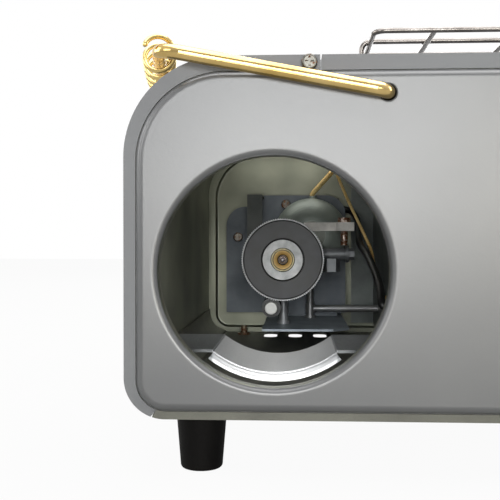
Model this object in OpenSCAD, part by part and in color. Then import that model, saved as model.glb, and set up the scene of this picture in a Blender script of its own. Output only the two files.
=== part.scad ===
// Portable gas heater with a canister bay behind a round port, a radiant burner
// and a folding bail handle with a coiled grip.
// +X is the heater's front, -Y the canister end, +Z up, the floor is at Z = 0.

/* [Case] */
// Width from the rear to the front
case_width = 178; // [172:1:190]
// Length between the faces of the two end panels
case_length = 276; // [270:2:300]
// Height of the case without its feet
case_height = 123; // [121:1:130]
// Thickness of the case sheet
sheet = 1.0; // [0.8:0.1:1.2]
// Outer radius of the two top shoulders
shoulder_radius = 34; // [30:1:36]
// Outer radius of the two bottom corners
bottom_radius = 14; // [12:1:16]
// Where the top seam between the covers lies, from the middle
seam_offset = -22.4; // [-26:0.2:-21]
// Gap between the two covers at the seam
seam_gap = 0.6; // [0.3:0.1:1.0]

/* [End panels] */
// How far the pressed face stands out of the cover flanges
face_proud = 2.5; // [2:0.1:3]
// Radius of the rolled edge of the pressed face
roll_radius = 2.7; // [2.2:0.1:3]
// Width of the cover flange beside the pressed face
side_strip = 4.5; // [4:0.1:5]
// Height of the cover flange above the pressed face
top_strip = 5.6; // [5.2:0.1:6]
// Height of the flange below the pressed face
bottom_strip = 3.1; // [3:0.1:4]
// Corner radius at the top of the pressed face
face_top_radius = 30; // [27:1:31]
// Corner radius at the bottom of the pressed face
face_bottom_radius = 10; // [9:0.5:12]
// Gap line between the pressed face and the cover flanges
face_gap = 0.4; // [0.3:0.1:0.6]

/* [Canister port] */
// Diameter of the port's straight bore
port_diameter = 78; // [74:1:79]
// Entry radius of the port's turned-in edge
port_entry = 2.4; // [2:0.1:3]
// Depth of the port's turned-in edge
port_depth = 6; // [5:0.5:8]
// Distance of the canister's axis from the middle towards the rear
can_offset = 38; // [37:0.5:39]
// Height of the canister's axis above the floor
can_height = 70.2; // [69:0.2:72]

/* [Feet] */
// Height of the rubber feet
foot_height = 20; // [18:1:24]
// Diameter of a foot at the top
foot_top = 18; // [16:0.5:20]
// Diameter of a foot at the floor
foot_bottom = 15; // [13:0.5:16]
// Distance of the feet from the middle, front to rear
foot_x = 64; // [62:1:66]
// Distance of the feet from the middle, end to end
foot_y = 120; // [118:1:122]

/* [Handle] */
// Diameter of the bail's wire
bail_wire = 5; // [4.6:0.1:5.2]
// Distance from the pivot to the middle of the grip
bail_reach = 89.5; // [87:0.5:92]
// How far the grip bows out between its ends
bail_bow = 12.5; // [10:0.5:14]
// Bend radius between an arm and the grip
bail_bend = 8; // [7:0.5:10]
// Depth of the pivot below the case top
pivot_drop = 13.3; // [12.5:0.1:15]
// Clearance between the bail's arms and the end panels
arm_clearance = 0.5; // [0.4:0.1:1]
// Outer diameter of the coiled grip
coil_diameter = 12.1; // [11.5:0.1:12.6]
// Diameter of the coil's wire
coil_wire = 1.8; // [1.4:0.1:2]
// Number of curls in the grip
coil_curls = 23; // [18:1:40]
// Gap between the coil and the case shoulder it rests on
coil_rest = 0.35; // [0.3:0.05:0.6]
// Radial clearance of the pivots in their bushes
pivot_clearance = 0.05; // [0.03:0.01:0.1]

/* [Guard] */
// Diameter of the guard's wire
guard_wire = 2; // [1.8:0.1:2.2]
// Height of the guard's upper wires above the case top
guard_rise = 17.5; // [16:0.5:19]
// How far the guard stands out in front of the case
guard_reach = 22; // [20:1:24]
// Number of guard ribs from end to end
rib_count = 9; // [7:1:10]
// Distance from the first guard rib to the last
rib_span = 204; // [200:1:210]
// Radius of the guard's bend from top to front
guard_bend = 25; // [22:1:28]

/* [Cradle] */
// Radius of the trough that carries the canister
trough_radius = 36; // [35:0.5:37]
// Depth of the cradle's wings below the canister's axis
wing_drop = 28.3; // [27.2:0.1:29.2]
// Length of the cradle along the canister
cradle_length = 53; // [48:1:60]
// Distance of the cradle from the port's face
cradle_setback = 15; // [12:1:18]

/* [Valve] */
// Distance of the collar's face from the port's face
collar_setback = 177; // [174:1:179]
// Diameter of the collar disc
collar_diameter = 45; // [42:0.5:46]
// Diameter of the diaphragm housing
dome_diameter = 43.6; // [41:0.2:45]
// Diameter of the release pin
release_diameter = 6.7; // [6:0.1:7]
// Travel of the release pin
release_travel = 4; // [3:0.5:5]
// Diameter of the gas pipe
pipe_diameter = 4.3; // [4:0.1:5]

/* [Burner] */
// Height of the front window
window_height = 60; // [56:1:62]
// Length of the front window
window_length = 196; // [190:1:200]
// Height of the ceramic plaque
plaque_height = 44; // [40:1:45]
// Length of the ceramic plaque
plaque_length = 132; // [120:1:140]

/* [Knob] */
// Diameter of the control knob
knob_diameter = 44; // [38:1:48]
// Height of the control knob
knob_height = 22; // [18:1:26]

/* [Hidden] */
$fn = 48;
slip = 0.1;
half_x = case_width / 2;
face_y = case_length / 2;
flange_y = face_y - face_proud;
top_z = foot_height + case_height;
floor_z = foot_height + sheet;
inner_top = top_z - sheet;
shoulder_x = half_x - shoulder_radius;
shoulder_z = top_z - shoulder_radius;
corner_x = half_x - bottom_radius;
corner_z = foot_height + bottom_radius;
notch_angle = 70;
seam_front = seam_offset + seam_gap;
arc_steps = 30;
roll_steps = 10;

face_half = half_x - side_strip;
face_top = top_z - top_strip;
face_bottom = foot_height + bottom_strip;
face_top_x = face_half - face_top_radius;
face_top_z = face_top - face_top_radius;
face_bottom_x = face_half - face_bottom_radius;
face_bottom_z = face_bottom + face_bottom_radius;
rim_depth = face_proud + sheet;
rim_flange = bottom_strip - sheet - 0.2;
wall_y = face_y - sheet;
port_radius = port_diameter / 2;
can_x = -can_offset;

screw_d = 3;
screw_z = (top_z + face_top + face_gap) / 2;
screw_places = [seam_offset - 3.6, shoulder_x - 5];

foot_bolt = 4;
foot_recess = 5;
foot_tip = 5.5;
push_nut = 0.8;
vent_wide = 8.4;
vent_run = 17;
vent_side = 6.5;
vent_pitch = 15.5;

pivot_height = top_z - pivot_drop;
bail_r = bail_wire / 2;
arm_y = face_y + arm_clearance + bail_r;
bow_radius = (arm_y * arm_y + bail_bow * bail_bow) / (2 * bail_bow);
bow_center = bail_reach - bow_radius;
bend_q = arm_y - bail_bend;
bend_p = bow_center + sqrt(pow(bow_radius - bail_bend, 2) - bend_q * bend_q);
bow_angle = atan2(bend_q, bend_p - bow_center);
grip_draw = 0.05;
grip_angle = bow_angle + asin(0.3 / bow_radius);
pivot_bend = 4;
coil_r = coil_diameter / 2;
coil_mean = coil_r - coil_wire / 2;
curl_rings = 8;
coil_hang = (coil_mean - coil_wire / 2) * cos(180 / curl_rings) - bail_r - 0.02;
coil_half = arm_y - bail_r - coil_wire / 2 - 0.3;
coil_angle = asin(coil_half / bow_radius);

rest_p = bow_center + bow_radius * cos(asin(flange_y / bow_radius));
rest_reach = norm([rest_p, coil_hang]);
rest_height = pivot_height - shoulder_z;
rest_base = norm([shoulder_x, rest_height]);
rest_near = shoulder_radius + coil_r + coil_rest;
rest_cos = (pow(rest_base, 2) + pow(rest_reach, 2) - pow(rest_near, 2)) / (2 * rest_base * rest_reach);
fold_angle = acos(rest_cos) - atan2(rest_height, shoulder_x) + atan2(coil_hang, rest_p);

pin_hole = bail_r + pivot_clearance;
bush_wall = 0.6;
bush_r = pin_hole + bush_wall;
bush_lip = 2;
bush_long = 5.5;
nut_thick = 0.8;
nut_gap = 0.3;
nut_y = wall_y - bush_long + sheet - nut_gap;

guard_r = guard_wire / 2;
guard_top = top_z + guard_rise;
guard_low = guard_top - guard_wire + 0.2;
guard_x = half_x + guard_reach;
leg_x = -4.3;
leg_bend = 3.5;
rear_rail = -1.3;
rail_gap = 30.7;
rail_first = 20.9;
guard_foot = foot_height + 19.5;
foot_bend = 6;
rib_pitch = rib_span / (rib_count - 1);

cradle_y = -face_y + cradle_setback;
wing_height = can_height - wing_drop;
cradle_rear = -half_x + 5;
cradle_leg = -corner_x + 1;
cradle_foot = 5;
partition_x = 19;
cradle_front = partition_x - 2;
lip_roll = 3;

collar_y = -face_y + collar_setback;
collar_r = collar_diameter / 2;
collar_thick = 3.5;
collar_rim = 0.6;
magnet_out = 10.8;
seat_out = 6.5;
seat_hole = 2.6;
body_y = collar_y + collar_thick;
body_r = 16;
body_long = 27.5;
dome_side = 15.8;
dome_x = can_x + dome_side;
dome_rise = 13.6;
dome_z = can_height + dome_rise;
dome_r = dome_diameter / 2;
neck_y = body_y + body_long;
neck_r = 8;
neck_long = 10;
dome_y = neck_y + neck_long;
cap_depth = 9;
cap_rise = 6;
thermo_side = 1.3;
thermo_back = 10.2;
thermo_top = dome_z + dome_r + 1.5;
plate_gap = 20;
plate_y = wall_y - plate_gap;
plate_thick = 1.2;
strap_back = 31;
strap_rise = 37.8;
strap_drop = 4;
plate_left = 37;
plate_right = 38;
plate_rise = 38.8;
plate_step = 7;
plate_shoulder = 12;
spacer_places = [[can_x - 29.6, can_height + 12.6], [can_x + 0.7, can_height + 33.2]];
shelf_rise = 13.2;
shelf_drop = 37;
// The shelf stands at its own height, or lower where the valve above it needs the room
shelf_z = min(foot_height + shelf_rise, can_height - shelf_drop);
shelf_rear = 11;
shelf_front = 36;
shelf_near = 5;
shelf_thick = 1.2;
post_drop = 18.2;
post_top = can_height - post_drop;
fitting_y = neck_y - 6;
fitting_rise = 2.7;
fitting_z = can_height + fitting_rise;
fitting_side = 22;
fitting_start = can_x + fitting_side;
fitting_long = 13;
fitting_end = fitting_start + fitting_long;
fitting_r = 3.45;
fitting_lip = 1.3;
lever_rise = 15.8;
lever_z = can_height + lever_rise;
lever_height = 4.9;
lever_thick = 3;
lever_end = partition_x - 17.3;
screw_x = lever_end - 5.4;
lever_screw_r = 2;
pipe_back = 24;
pipe_y = dome_y + pipe_back;
pipe_rise = 5.7;
pipe_z = shelf_z + pipe_rise;
pipe_r = pipe_diameter / 2;
pipe_bend = 6;
jet_y = pipe_y - pipe_bend - 4;
spigot_drop = 13.8;
spigot_z = dome_z - spigot_drop;
release_side = 6.3;
release_x = can_x - release_side;
socket_web = 5;
release_drop = 26.2;
release_z = can_height - release_drop;
release_r = release_diameter / 2;
release_y = collar_y - 2;
release_long = 15;
socket_r = release_r + slip + 1.75;
socket_y = body_y + 0.4;
socket_end = collar_y + release_long + release_travel + 2;
socket_long = socket_end - socket_y;
post_y = socket_end + 5.5;

window_rise = 56;
window_z = foot_height + window_rise;
window_rim = 3;
front_in = half_x - sheet;
plaque_thick = 12;
plaque_setback = 43;
plaque_x = half_x - plaque_setback;
plaque_front = plaque_x + plaque_thick;
boss_long = 10;
boss_r = 5;
boss_y = 46;
burner_back = partition_x + sheet + boss_long;
ledge = 3;
box_wall = 1.5;
box_gap = 1;
box_y = plaque_length / 2 + box_gap + box_wall;
box_z = plaque_height / 2 + box_gap + box_wall;
frame_thick = 1.2;
frame_grip = 8;
frame_lap = 3;
frame_y = box_y + slip + frame_thick;
frame_z = box_z + slip + frame_thick;
pan_sheet = 0.8;
venturi_r = 7;
venturi_x = burner_back + 10;
riser_r = 5.5;
sensor_x = corner_x - 6;
sensor_z = foot_height + 19;
sensor_y = 12;
lead_hole = 2.8;
spark_hole = [partition_x + sheet / 2, -10, foot_height + 22];
thermo_hole = [partition_x + sheet / 2, 19, foot_height + 29.5];

knob_gap = 0.6;
spindle_r = 3;
spindle_in = plate_y - 5;

min_x = -bail_reach * cos(fold_angle) - coil_hang * sin(fold_angle) - coil_r;
max_x = guard_x + guard_r;
min_y = -arm_y - bail_r;
max_y = face_y + knob_gap + knob_height;
frame_origin = [(min_x + max_x) / 2, (min_y + max_y) / 2, 0];

// Moves the case-centred model so that its origin lies under the middle of its box
module placed() {
    translate(-frame_origin) children();
}

// Stands a drawing of X and Z upright, solid from y0 to y1
module slab(y0, y1) {
    translate([0, y1, 0]) rotate([90, 0, 0]) linear_extrude(y1 - y0) children();
}

// Turns a piece drawn along Z so that it runs along +Y from a point
module along_y(x, y, z) {
    translate([x, y, z]) rotate([-90, 0, 0]) children();
}

// Turns a piece drawn along Z so that it runs along +X from a point
module along_x(x, y, z) {
    translate([x, y, z]) rotate([0, 90, 0]) children();
}

// A piece and its mirror image at the other end
module both_ends() {
    children();
    mirror([0, 1, 0]) children();
}

// A straight round bar between two points
module rod(p, q, d) {
    v = q - p;
    translate(p) rotate([0, acos(v.z / norm(v)), atan2(v.y, v.x)]) cylinder(h = norm(v), d = d);
}

// A bent round bar in the XZ plane, from angle a0 over the sweep
module elbow(c, bend, a0, sweep, d) {
    translate(c) rotate([90, 0, 0]) rotate([0, 0, a0]) rotate_extrude(angle = sweep)
        translate([bend, 0]) circle(d = d);
}

// A bent round bar in the XY plane, from angle a0 over the sweep
module flat_elbow(c, bend, a0, sweep, d) {
    translate(c) rotate([0, 0, a0]) rotate_extrude(angle = sweep) translate([bend, 0]) circle(d = d);
}

function arc(c, r, a0, a1, n) = [
    for (i = [0:n]) let (a = a0 + (a1 - a0) * i / n) c + r * [cos(a), sin(a)]
];

function reversed(list) = [for (i = [len(list) - 1:-1:0]) list[i]];

function mirrored(list) = [for (p = list) [-p.x, p.y]];

function unit(v) = v / norm(v);

// Outline of one half of the case, moved inwards, from the top seam to the bottom notch
function case_path(seam, inward) = concat(
    [[seam, top_z - inward]],
    arc([-shoulder_x, shoulder_z], shoulder_radius - inward, 90, 180, arc_steps),
    arc([-corner_x, corner_z], bottom_radius - inward, 180, 180 + notch_angle, arc_steps)
);

// The matching outline of the pressed face, moved outwards
function face_path(seam, outward) = concat(
    [[seam, face_top + outward]],
    arc([-face_top_x, face_top_z], face_top_radius + outward, 90, 180, arc_steps),
    arc([-face_bottom_x, face_bottom_z], face_bottom_radius + outward, 180, 180 + notch_angle, arc_steps)
);

// One case cover, drawn at the rear: a bent band with a turned-in flange at each end
module cover(seam) {
    difference() {
        union() {
            slab(-flange_y, flange_y)
                polygon(concat(case_path(seam, 0), reversed(case_path(seam, sheet))));
            both_ends() slab(-flange_y, -flange_y + sheet)
                polygon(concat(case_path(seam, 0), reversed(face_path(seam, face_gap))));
        }
        children();
    }
}

module screw_hole(x) {
    both_ends() along_y(x, -flange_y - 1, screw_z) cylinder(h = rim_depth + 3, d = screw_d + slip);
}

module rear_cover() {
    color("#8d8f92") placed() cover(seam_offset) screw_hole(screw_places[0]);
}

module front_cover() {
    color("#8d8f92") placed() mirror([1, 0, 0]) cover(-seam_front) mirror([1, 0, 0]) {
        screw_hole(screw_places[1]);
        translate([front_in - 1, -window_length / 2, window_z - window_height / 2])
            cube([sheet + 2, window_length, window_height]);
        for (i = [0:rib_count - 2]) heat_slot(rib_y(i) + rib_pitch / 2);
        for (i = [1:rib_count - 2]) translate([leg_x, rib_y(i), inner_top - 1])
            cylinder(h = sheet + 2, d = guard_wire + 2 * slip);
        for (i = [0:rib_count - 1]) along_x(front_in - 1, rib_y(i), guard_foot)
            cylinder(h = sheet + 2, d = guard_wire + 2 * slip);
    }
}

// A round-ended slot in the case top, which lets the heat out under the guard
module heat_slot(y) {
    slot_d = 5;
    translate([partition_x + 16, y, inner_top - 1]) linear_extrude(sheet + 2) {
        circle(d = slot_d);
        translate([0, -slot_d / 2]) square([26, slot_d]);
        translate([26, 0]) circle(d = slot_d);
    }
}

// Bottom tray: an outer floor, and inner walls that reach up behind the covers
module bottom_plate() {
    wall_top = corner_z + 2;
    wall_y0 = flange_y - rim_depth;
    in0 = sheet + slip;
    in1 = in0 + sheet;
    start = notch_angle + 2;
    floor_out = arc([-corner_x, corner_z], bottom_radius, 180 + start, 270, 6);
    floor_in = arc([-corner_x, corner_z], bottom_radius - sheet, 180 + start, 270, 6);
    lip_in = arc([-face_bottom_x, face_bottom_z], face_bottom_radius + face_gap, 180 + start, 270, 6);
    joggle_out = arc([-corner_x, corner_z], bottom_radius - sheet / 2, 180 + start + 1, 262, 3);
    joggle_in = arc([-corner_x, corner_z], bottom_radius - in1, 180 + start + 1, 262, 3);
    wall_out = concat([[-half_x + in0, wall_top]],
        arc([-corner_x, corner_z], bottom_radius - in0, 180, 262, arc_steps));
    wall_in = concat([[-half_x + in1, wall_top]],
        arc([-corner_x, corner_z], bottom_radius - in1, 180, 262, arc_steps));
    color("#7d7f82") placed() difference() {
        union() {
            slab(-flange_y, flange_y) polygon(concat(
                floor_out, reversed(mirrored(floor_out)), mirrored(floor_in), reversed(floor_in)));
            both_ends() slab(-flange_y, -flange_y + sheet) polygon(concat(
                floor_out, reversed(mirrored(floor_out)), mirrored(lip_in), reversed(lip_in)));
            for (side = [0, 1]) mirror([side, 0, 0]) slab(-wall_y0, wall_y0) {
                polygon(concat(wall_out, reversed(wall_in)));
                polygon(concat(joggle_out, reversed(joggle_in)));
            }
        }
        for (x = [-foot_x, foot_x], y = [-foot_y, foot_y])
            translate([x, y, foot_height - 1]) cylinder(h = sheet + 2, d = foot_bolt + 2 * slip);
        for (i = [-1:1]) translate([can_x + vent_side + vent_pitch * i, plate_y, foot_height - 1]) {
            for (end = [-1, 1]) translate([0, end * vent_run / 2, 0])
                cylinder(h = sheet + 2, d = vent_wide);
            translate([-vent_wide / 2, -vent_run / 2, 0]) cube([vent_wide, vent_run, sheet + 2]);
        }
    }
}

// Section of a pressed end panel from a corner's centre out to its flange
function pressed_profile(r) = concat(
    [[0, 0]],
    arc([r - roll_radius, roll_radius], roll_radius, 270, 360, roll_steps),
    [[r, rim_depth], [r + rim_flange, rim_depth], [r + rim_flange, rim_depth + sheet]],
    [[r - sheet, rim_depth + sheet]],
    arc([r - roll_radius, roll_radius], roll_radius - sheet, 360, 270, roll_steps),
    [[0, sheet]]
);

module pressed_corner(x, z, r, a0) {
    translate([x, 0, z]) rotate([-90, 0, 0]) rotate([0, 0, -a0 - 90])
        rotate_extrude(angle = 90) polygon(pressed_profile(r));
}

// A pressed end panel, its outer face at Y = 0 and its inside towards +Y
module pressed_panel() {
    translate([-face_top_x, 0, face_bottom_z])
        cube([2 * face_top_x, sheet, face_top_z - face_bottom_z]);
    for (side = [0, 1]) mirror([side, 0, 0]) {
        translate([face_top_x, 0, face_bottom_z]) linear_extrude(face_top_z - face_bottom_z)
            polygon(pressed_profile(face_top_radius));
        pressed_corner(face_top_x, face_top_z, face_top_radius, 0);
        pressed_corner(face_bottom_x, face_bottom_z, face_bottom_radius, 270);
    }
    translate([face_top_x, 0, face_top_z]) rotate([0, -90, 0])
        linear_extrude(2 * face_top_x) polygon(pressed_profile(face_top_radius));
    translate([face_bottom_x, 0, face_bottom_z]) mirror([0, 0, 1]) rotate([0, -90, 0])
        linear_extrude(2 * face_bottom_x) polygon(pressed_profile(face_bottom_radius));
    for (x = screw_places) translate([x - 5, rim_depth, face_top])
        cube([10, sheet, inner_top - 0.6 - face_top]);
}

module panel_holes() {
    along_y(0, -1, pivot_height) cylinder(h = sheet + 2, r = bush_r + slip);
    for (x = screw_places) along_y(x, rim_depth - 1, screw_z)
        cylinder(h = sheet + 2, d = screw_d + slip);
}

// Turned-in edge round the port, with a straight bore behind its entry
module port_edge() {
    mouth = port_radius + port_entry;
    along_y(can_x, 0, can_height) rotate_extrude($fn = 96) polygon(concat(
        [[mouth + 1, 0]],
        arc([mouth, port_entry], port_entry, 270, 180, roll_steps),
        [[port_radius, port_depth], [port_radius + sheet, port_depth]],
        arc([mouth, port_entry], port_entry - sheet, 180, 270, roll_steps),
        [[mouth + 1, sheet]]
    ));
}

module canister_end_panel() {
    color("#a6a7a9") placed() translate([0, -face_y, 0]) {
        difference() {
            pressed_panel();
            panel_holes();
            along_y(can_x, -1, can_height)
                cylinder(h = sheet + 2, r = port_radius + port_entry + 0.5, $fn = 96);
        }
        port_edge();
    }
}

module control_end_panel() {
    color("#a6a7a9") placed() translate([0, face_y, 0]) mirror([0, 1, 0]) difference() {
        pressed_panel();
        panel_holes();
        along_y(can_x, -1, can_height) cylinder(h = sheet + 2, r = spindle_r + 2 + slip);
    }
}

// Upright sheet between the canister bay and the burner, with flanges on the panels and floor
module partition_wall() {
    tab_low = face_bottom + 4;
    tab_high = pivot_height - 12;
    tab_rear = can_x + port_radius + port_entry + sheet + 0.3;
    color("#75777a") placed() difference() {
        union() {
            translate([partition_x, -flange_y + 4, floor_z])
                cube([sheet, 2 * flange_y - 8, inner_top - 0.3 - floor_z]);
            translate([partition_x, -flange_y + 4, floor_z]) cube([9, 2 * flange_y - 8, sheet]);
            translate([partition_x, -wall_y, tab_low]) cube([sheet, 2 * wall_y, tab_high - tab_low]);
            both_ends() translate([tab_rear, -wall_y, tab_low])
                cube([partition_x + sheet - tab_rear, sheet, tab_high - tab_low]);
        }
        along_x(partition_x - 1, pipe_y, pipe_z) cylinder(h = sheet + 2, r = pipe_r + 0.6);
        along_x(partition_x - 1, spark_hole.y, spark_hole.z) cylinder(h = sheet + 2, r = lead_hole);
        along_x(partition_x - 1, thermo_hole.y, thermo_hole.z) cylinder(h = sheet + 2, r = lead_hole);
    }
}

// Pan-head screw along +Y, its head's seat at Y = 0
module pan_screw(head_d, head_h, shank_d, shank) {
    along_y(0, 0, 0) difference() {
        union() {
            cylinder(h = shank, d = shank_d);
            translate([0, 0, -head_h]) rotate_extrude() polygon(concat(
                [[0, 0]],
                arc([head_d / 2 - 0.8, 0.8], 0.8, 270, 360, 4),
                [[head_d / 2, head_h], [0, head_h]]
            ));
        }
        for (turn = [0, 90]) rotate([0, 0, turn])
            translate([-head_d * 0.3, -0.4, -head_h - 1]) cube([head_d * 0.6, 0.8, 2]);
    }
}

module case_screws() {
    color("#6f6a62") placed() both_ends() for (x = screw_places)
        translate([x, -flange_y, screw_z]) pan_screw(5.4, 1.9, screw_d, 6);
}

module rubber_feet() {
    color("#1b1b1c") placed() for (x = [-foot_x, foot_x], y = [-foot_y, foot_y])
        translate([x, y, 0]) rotate_extrude() polygon(concat(
            [[foot_recess, 0]],
            arc([foot_bottom / 2 - 1.5, 1.5], 1.5, 270, 350, 5),
            [[foot_top / 2, foot_height], [foot_bolt / 2 + slip, foot_height]],
            [[foot_bolt / 2 + slip, foot_height / 2], [foot_recess, foot_height / 2]]
        ));
}

module foot_screws() {
    color("#8a6a4c") placed() for (x = [-foot_x, foot_x], y = [-foot_y, foot_y])
        translate([x, y, foot_height / 2]) {
            cylinder(h = foot_height / 2 + sheet + foot_tip, d = foot_bolt);
            translate([0, 0, -3]) cylinder(h = 3, d = 2 * foot_bolt);
        }
}

// Thin pressed nuts, pushed onto the screws from above the floor
module foot_nuts() {
    color("#8a6a4c") placed() for (x = [-foot_x, foot_x], y = [-foot_y, foot_y])
        translate([x, y, floor_z]) difference() {
            cylinder(h = push_nut, d = 2 * foot_bolt);
            translate([0, 0, -1]) cylinder(h = push_nut + 2, d = foot_bolt + slip);
        }
}

function rib_y(i) = -rib_span / 2 + rib_pitch * i;

// One guard rib from the case top over the bend and down to the case front
module guard_rib(y, level, front, rear, bend) {
    rod([rear, y, level], [front - bend, y, level], guard_wire);
    elbow([front - bend, y, level - bend], bend, 0, 90, guard_wire);
    rod([front, y, guard_foot + foot_bend], [front, y, level - bend], guard_wire);
    elbow([front - foot_bend, y, guard_foot + foot_bend], foot_bend, 270, 90, guard_wire);
    rod([front_in - 2, y, guard_foot], [front - foot_bend, y, guard_foot], guard_wire);
}

// Guard of welded wire: an outer frame, inner ribs on top of it, and rails along the case
module guard_grille() {
    drop = guard_top - guard_low;
    corner = 4.5;
    first = rib_y(0);
    color("#b9bcc0") placed() {
        for (i = [1:rib_count - 2]) {
            guard_rib(rib_y(i), guard_top, guard_x, leg_x + leg_bend, guard_bend);
            elbow([leg_x + leg_bend, rib_y(i), guard_top - leg_bend], leg_bend, 90, 90, guard_wire);
            rod([leg_x, rib_y(i), inner_top - 2], [leg_x, rib_y(i), guard_top - leg_bend], guard_wire);
        }
        both_ends() {
            guard_rib(first, guard_low, guard_x - drop, rear_rail + corner, guard_bend - drop);
            flat_elbow([rear_rail + corner, first + corner, guard_low], corner, 180, 90, guard_wire);
        }
        rod([rear_rail, first + corner, guard_low], [rear_rail, -first - corner, guard_low], guard_wire);
        for (i = [0:1]) rod([rail_first + rail_gap * i, first, guard_low],
            [rail_first + rail_gap * i, -first, guard_low], guard_wire);
        for (i = [0:2]) let (z = guard_foot + 14 + 33 * i)
            rod([guard_x - drop, first, z], [guard_x - drop, -first, z], guard_wire);
    }
}

// Moves the folded handle's plane, drawn as reach and length, onto its pivot
module in_bail_plane() {
    translate([0, 0, pivot_height]) rotate([0, fold_angle, 0]) mirror([1, 0, 0]) children();
}

// One wire: pins, bends at the pivots, arms, bends at the grip and the bowed grip
module handle_bail() {
    pin_in = nut_y - nut_thick - 2.5;
    color("#c9b27a") placed() in_bail_plane() {
        both_ends() {
            rod([0, -pin_in, 0], [0, -arm_y + pivot_bend, 0], bail_wire);
            flat_elbow([pivot_bend, -arm_y + pivot_bend, 0], pivot_bend, 180, 90, bail_wire);
            rod([pivot_bend, -arm_y, 0], [bend_p, -arm_y, 0], bail_wire);
            flat_elbow([bend_p, -bend_q, 0], bail_bend, 270, 90 - bow_angle, bail_wire);
        }
        flat_elbow([bow_center, 0, 0], bow_radius, -grip_angle, 2 * grip_angle, bail_wire - 2 * grip_draw,
            $fn = 720);
    }
}

// Points of the coil's wire along the bowed grip
coil_count = coil_curls * curl_rings;
function coil_along(k) = coil_angle * (2 * k / coil_count - 1);
function coil_out(k) =
    let (a = coil_along(k), turn = 360 * (k / curl_rings - coil_curls / 2) - fold_angle)
    [cos(turn) * cos(a), cos(turn) * sin(a), sin(turn)];
function coil_point(k) =
    let (a = coil_along(k))
    [bow_center + bow_radius * cos(a), bow_radius * sin(a), -coil_hang] + coil_mean * coil_out(k);

coil_gap = min([for (k = [0:coil_count - curl_rings], near = [curl_rings - 1, curl_rings])
    if (k + near <= coil_count) norm(coil_point(k + near) - coil_point(k))]) - coil_wire;
echo(least_gap_between_curls = coil_gap);

function ring(c, out, along, r, sides) =
    let (side = unit(cross(along, out)))
    [for (j = [0:sides - 1]) c + r * (cos(360 * j / sides) * out + sin(360 * j / sides) * side)];

// Triangles of a tube of rings with flat ends
function tube_faces(rings, sides) = concat(
    [for (i = [0:rings - 2], j = [0:sides - 1], half = [0, 1])
        let (a = i * sides + j, b = i * sides + (j + 1) % sides)
        half == 0 ? [a, a + sides, b] : [b, a + sides, b + sides]],
    [for (j = [1:sides - 2]) [0, j, j + 1]],
    [for (j = [1:sides - 2], e = [(rings - 1) * sides]) [e, e + j + 1, e + j]]
);

module tube(rings) {
    polyhedron([for (r = rings, p = r) p], tube_faces(len(rings), len(rings[0])), convexity = 10);
}

module handle_coil() {
    color("#d8c27e") placed() in_bail_plane() tube([
        for (k = [0:coil_count])
            let (along = coil_point(min(k + 1, coil_count)) - coil_point(max(k - 1, 0)))
            ring(coil_point(k), coil_out(k), along, coil_wire / 2, 6)
    ]);
}

// Bush in each end panel, with a lip behind the sheet and a flared mouth
module bail_bushes() {
    color("#202122") placed() both_ends() along_y(0, -face_y, pivot_height) rotate_extrude()
        polygon([
            [pin_hole + bush_wall / 2, 0], [bush_r, 0], [bush_r, sheet], [bush_r + bush_lip, sheet],
            [bush_r + bush_lip, sheet + 1.2], [bush_r, sheet + 1.2], [bush_r, bush_long],
            [pin_hole, bush_long], [pin_hole, 1.2]
        ]);
}

module push_nuts() {
    color("#9a9a98") placed() both_ends() along_y(0, -nut_y, pivot_height) difference() {
        cylinder(h = nut_thick, r = bush_r + bush_lip);
        translate([0, 0, -1]) cylinder(h = nut_thick + 2, r = bail_r);
    }
}

// Trough with a rolled front lip, a wing on each side and two footed legs
module canister_cradle() {
    half = acos((wing_drop + sheet / 2) / trough_radius);
    edge = trough_radius * sin(half) + 0.3;
    roll_r = trough_radius + lip_roll;
    color("#c3c6c8") placed() {
        along_y(can_x, cradle_y, can_height) rotate([0, 0, 90 - half])
            rotate_extrude(angle = 2 * half, $fn = 96) polygon(concat(
                arc([roll_r, lip_roll], lip_roll, 180, 270, roll_steps),
                arc([roll_r, lip_roll], lip_roll - sheet, 270, 180, roll_steps),
                [[trough_radius + sheet, cradle_length], [trough_radius, cradle_length]]
            ));
        for (wing = [[cradle_rear, can_x - edge], [can_x + edge, cradle_front]])
            translate([wing[0], cradle_y + lip_roll, wing_height - sheet])
                cube([wing[1] - wing[0], cradle_length - lip_roll, sheet]);
        for (x = [cradle_leg, cradle_front - sheet]) translate([x, cradle_y + 6, floor_z])
            cube([sheet, cradle_length - 12, wing_height - sheet / 2 - floor_z]);
        for (x = [cradle_leg, cradle_front - cradle_foot]) translate([x, cradle_y + 6, floor_z])
            cube([cradle_foot, cradle_length - 12, sheet]);
    }
}

// Disc that meets the canister's collar, with a raised rim and a groove round the magnet
module collar_disc() {
    color("#5c5f62") placed() along_y(can_x, collar_y, can_height) rotate_extrude($fn = 72) polygon([
        [seat_out + slip, collar_rim], [magnet_out + 0.8, collar_rim],
        [magnet_out + 0.8, collar_rim + 1.2], [magnet_out + 2.4, collar_rim + 1.2],
        [magnet_out + 2.4, collar_rim], [collar_r - 1.2, collar_rim], [collar_r - 1.2, 0],
        [collar_r, 0], [collar_r, collar_thick - 0.6], [collar_r - 0.6, collar_thick],
        [seat_out + slip, collar_thick]
    ]);
}

module ring_magnet() {
    color("#b4b6b8") placed() along_y(can_x, collar_y - 0.9, can_height) difference() {
        cylinder(h = 0.9 + collar_rim, r = magnet_out);
        translate([0, 0, -1]) cylinder(h = 4, r = seat_out + slip);
    }
}

module seat_ring() {
    color("#b08d4f") placed() along_y(can_x, collar_y - 1.4, can_height) rotate_extrude() polygon([
        [4.9, 0], [seat_out, 0], [seat_out, collar_thick + 1.4], [seat_hole, collar_thick + 1.4],
        [seat_hole, 1], [4.9, 1]
    ]);
}

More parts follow.
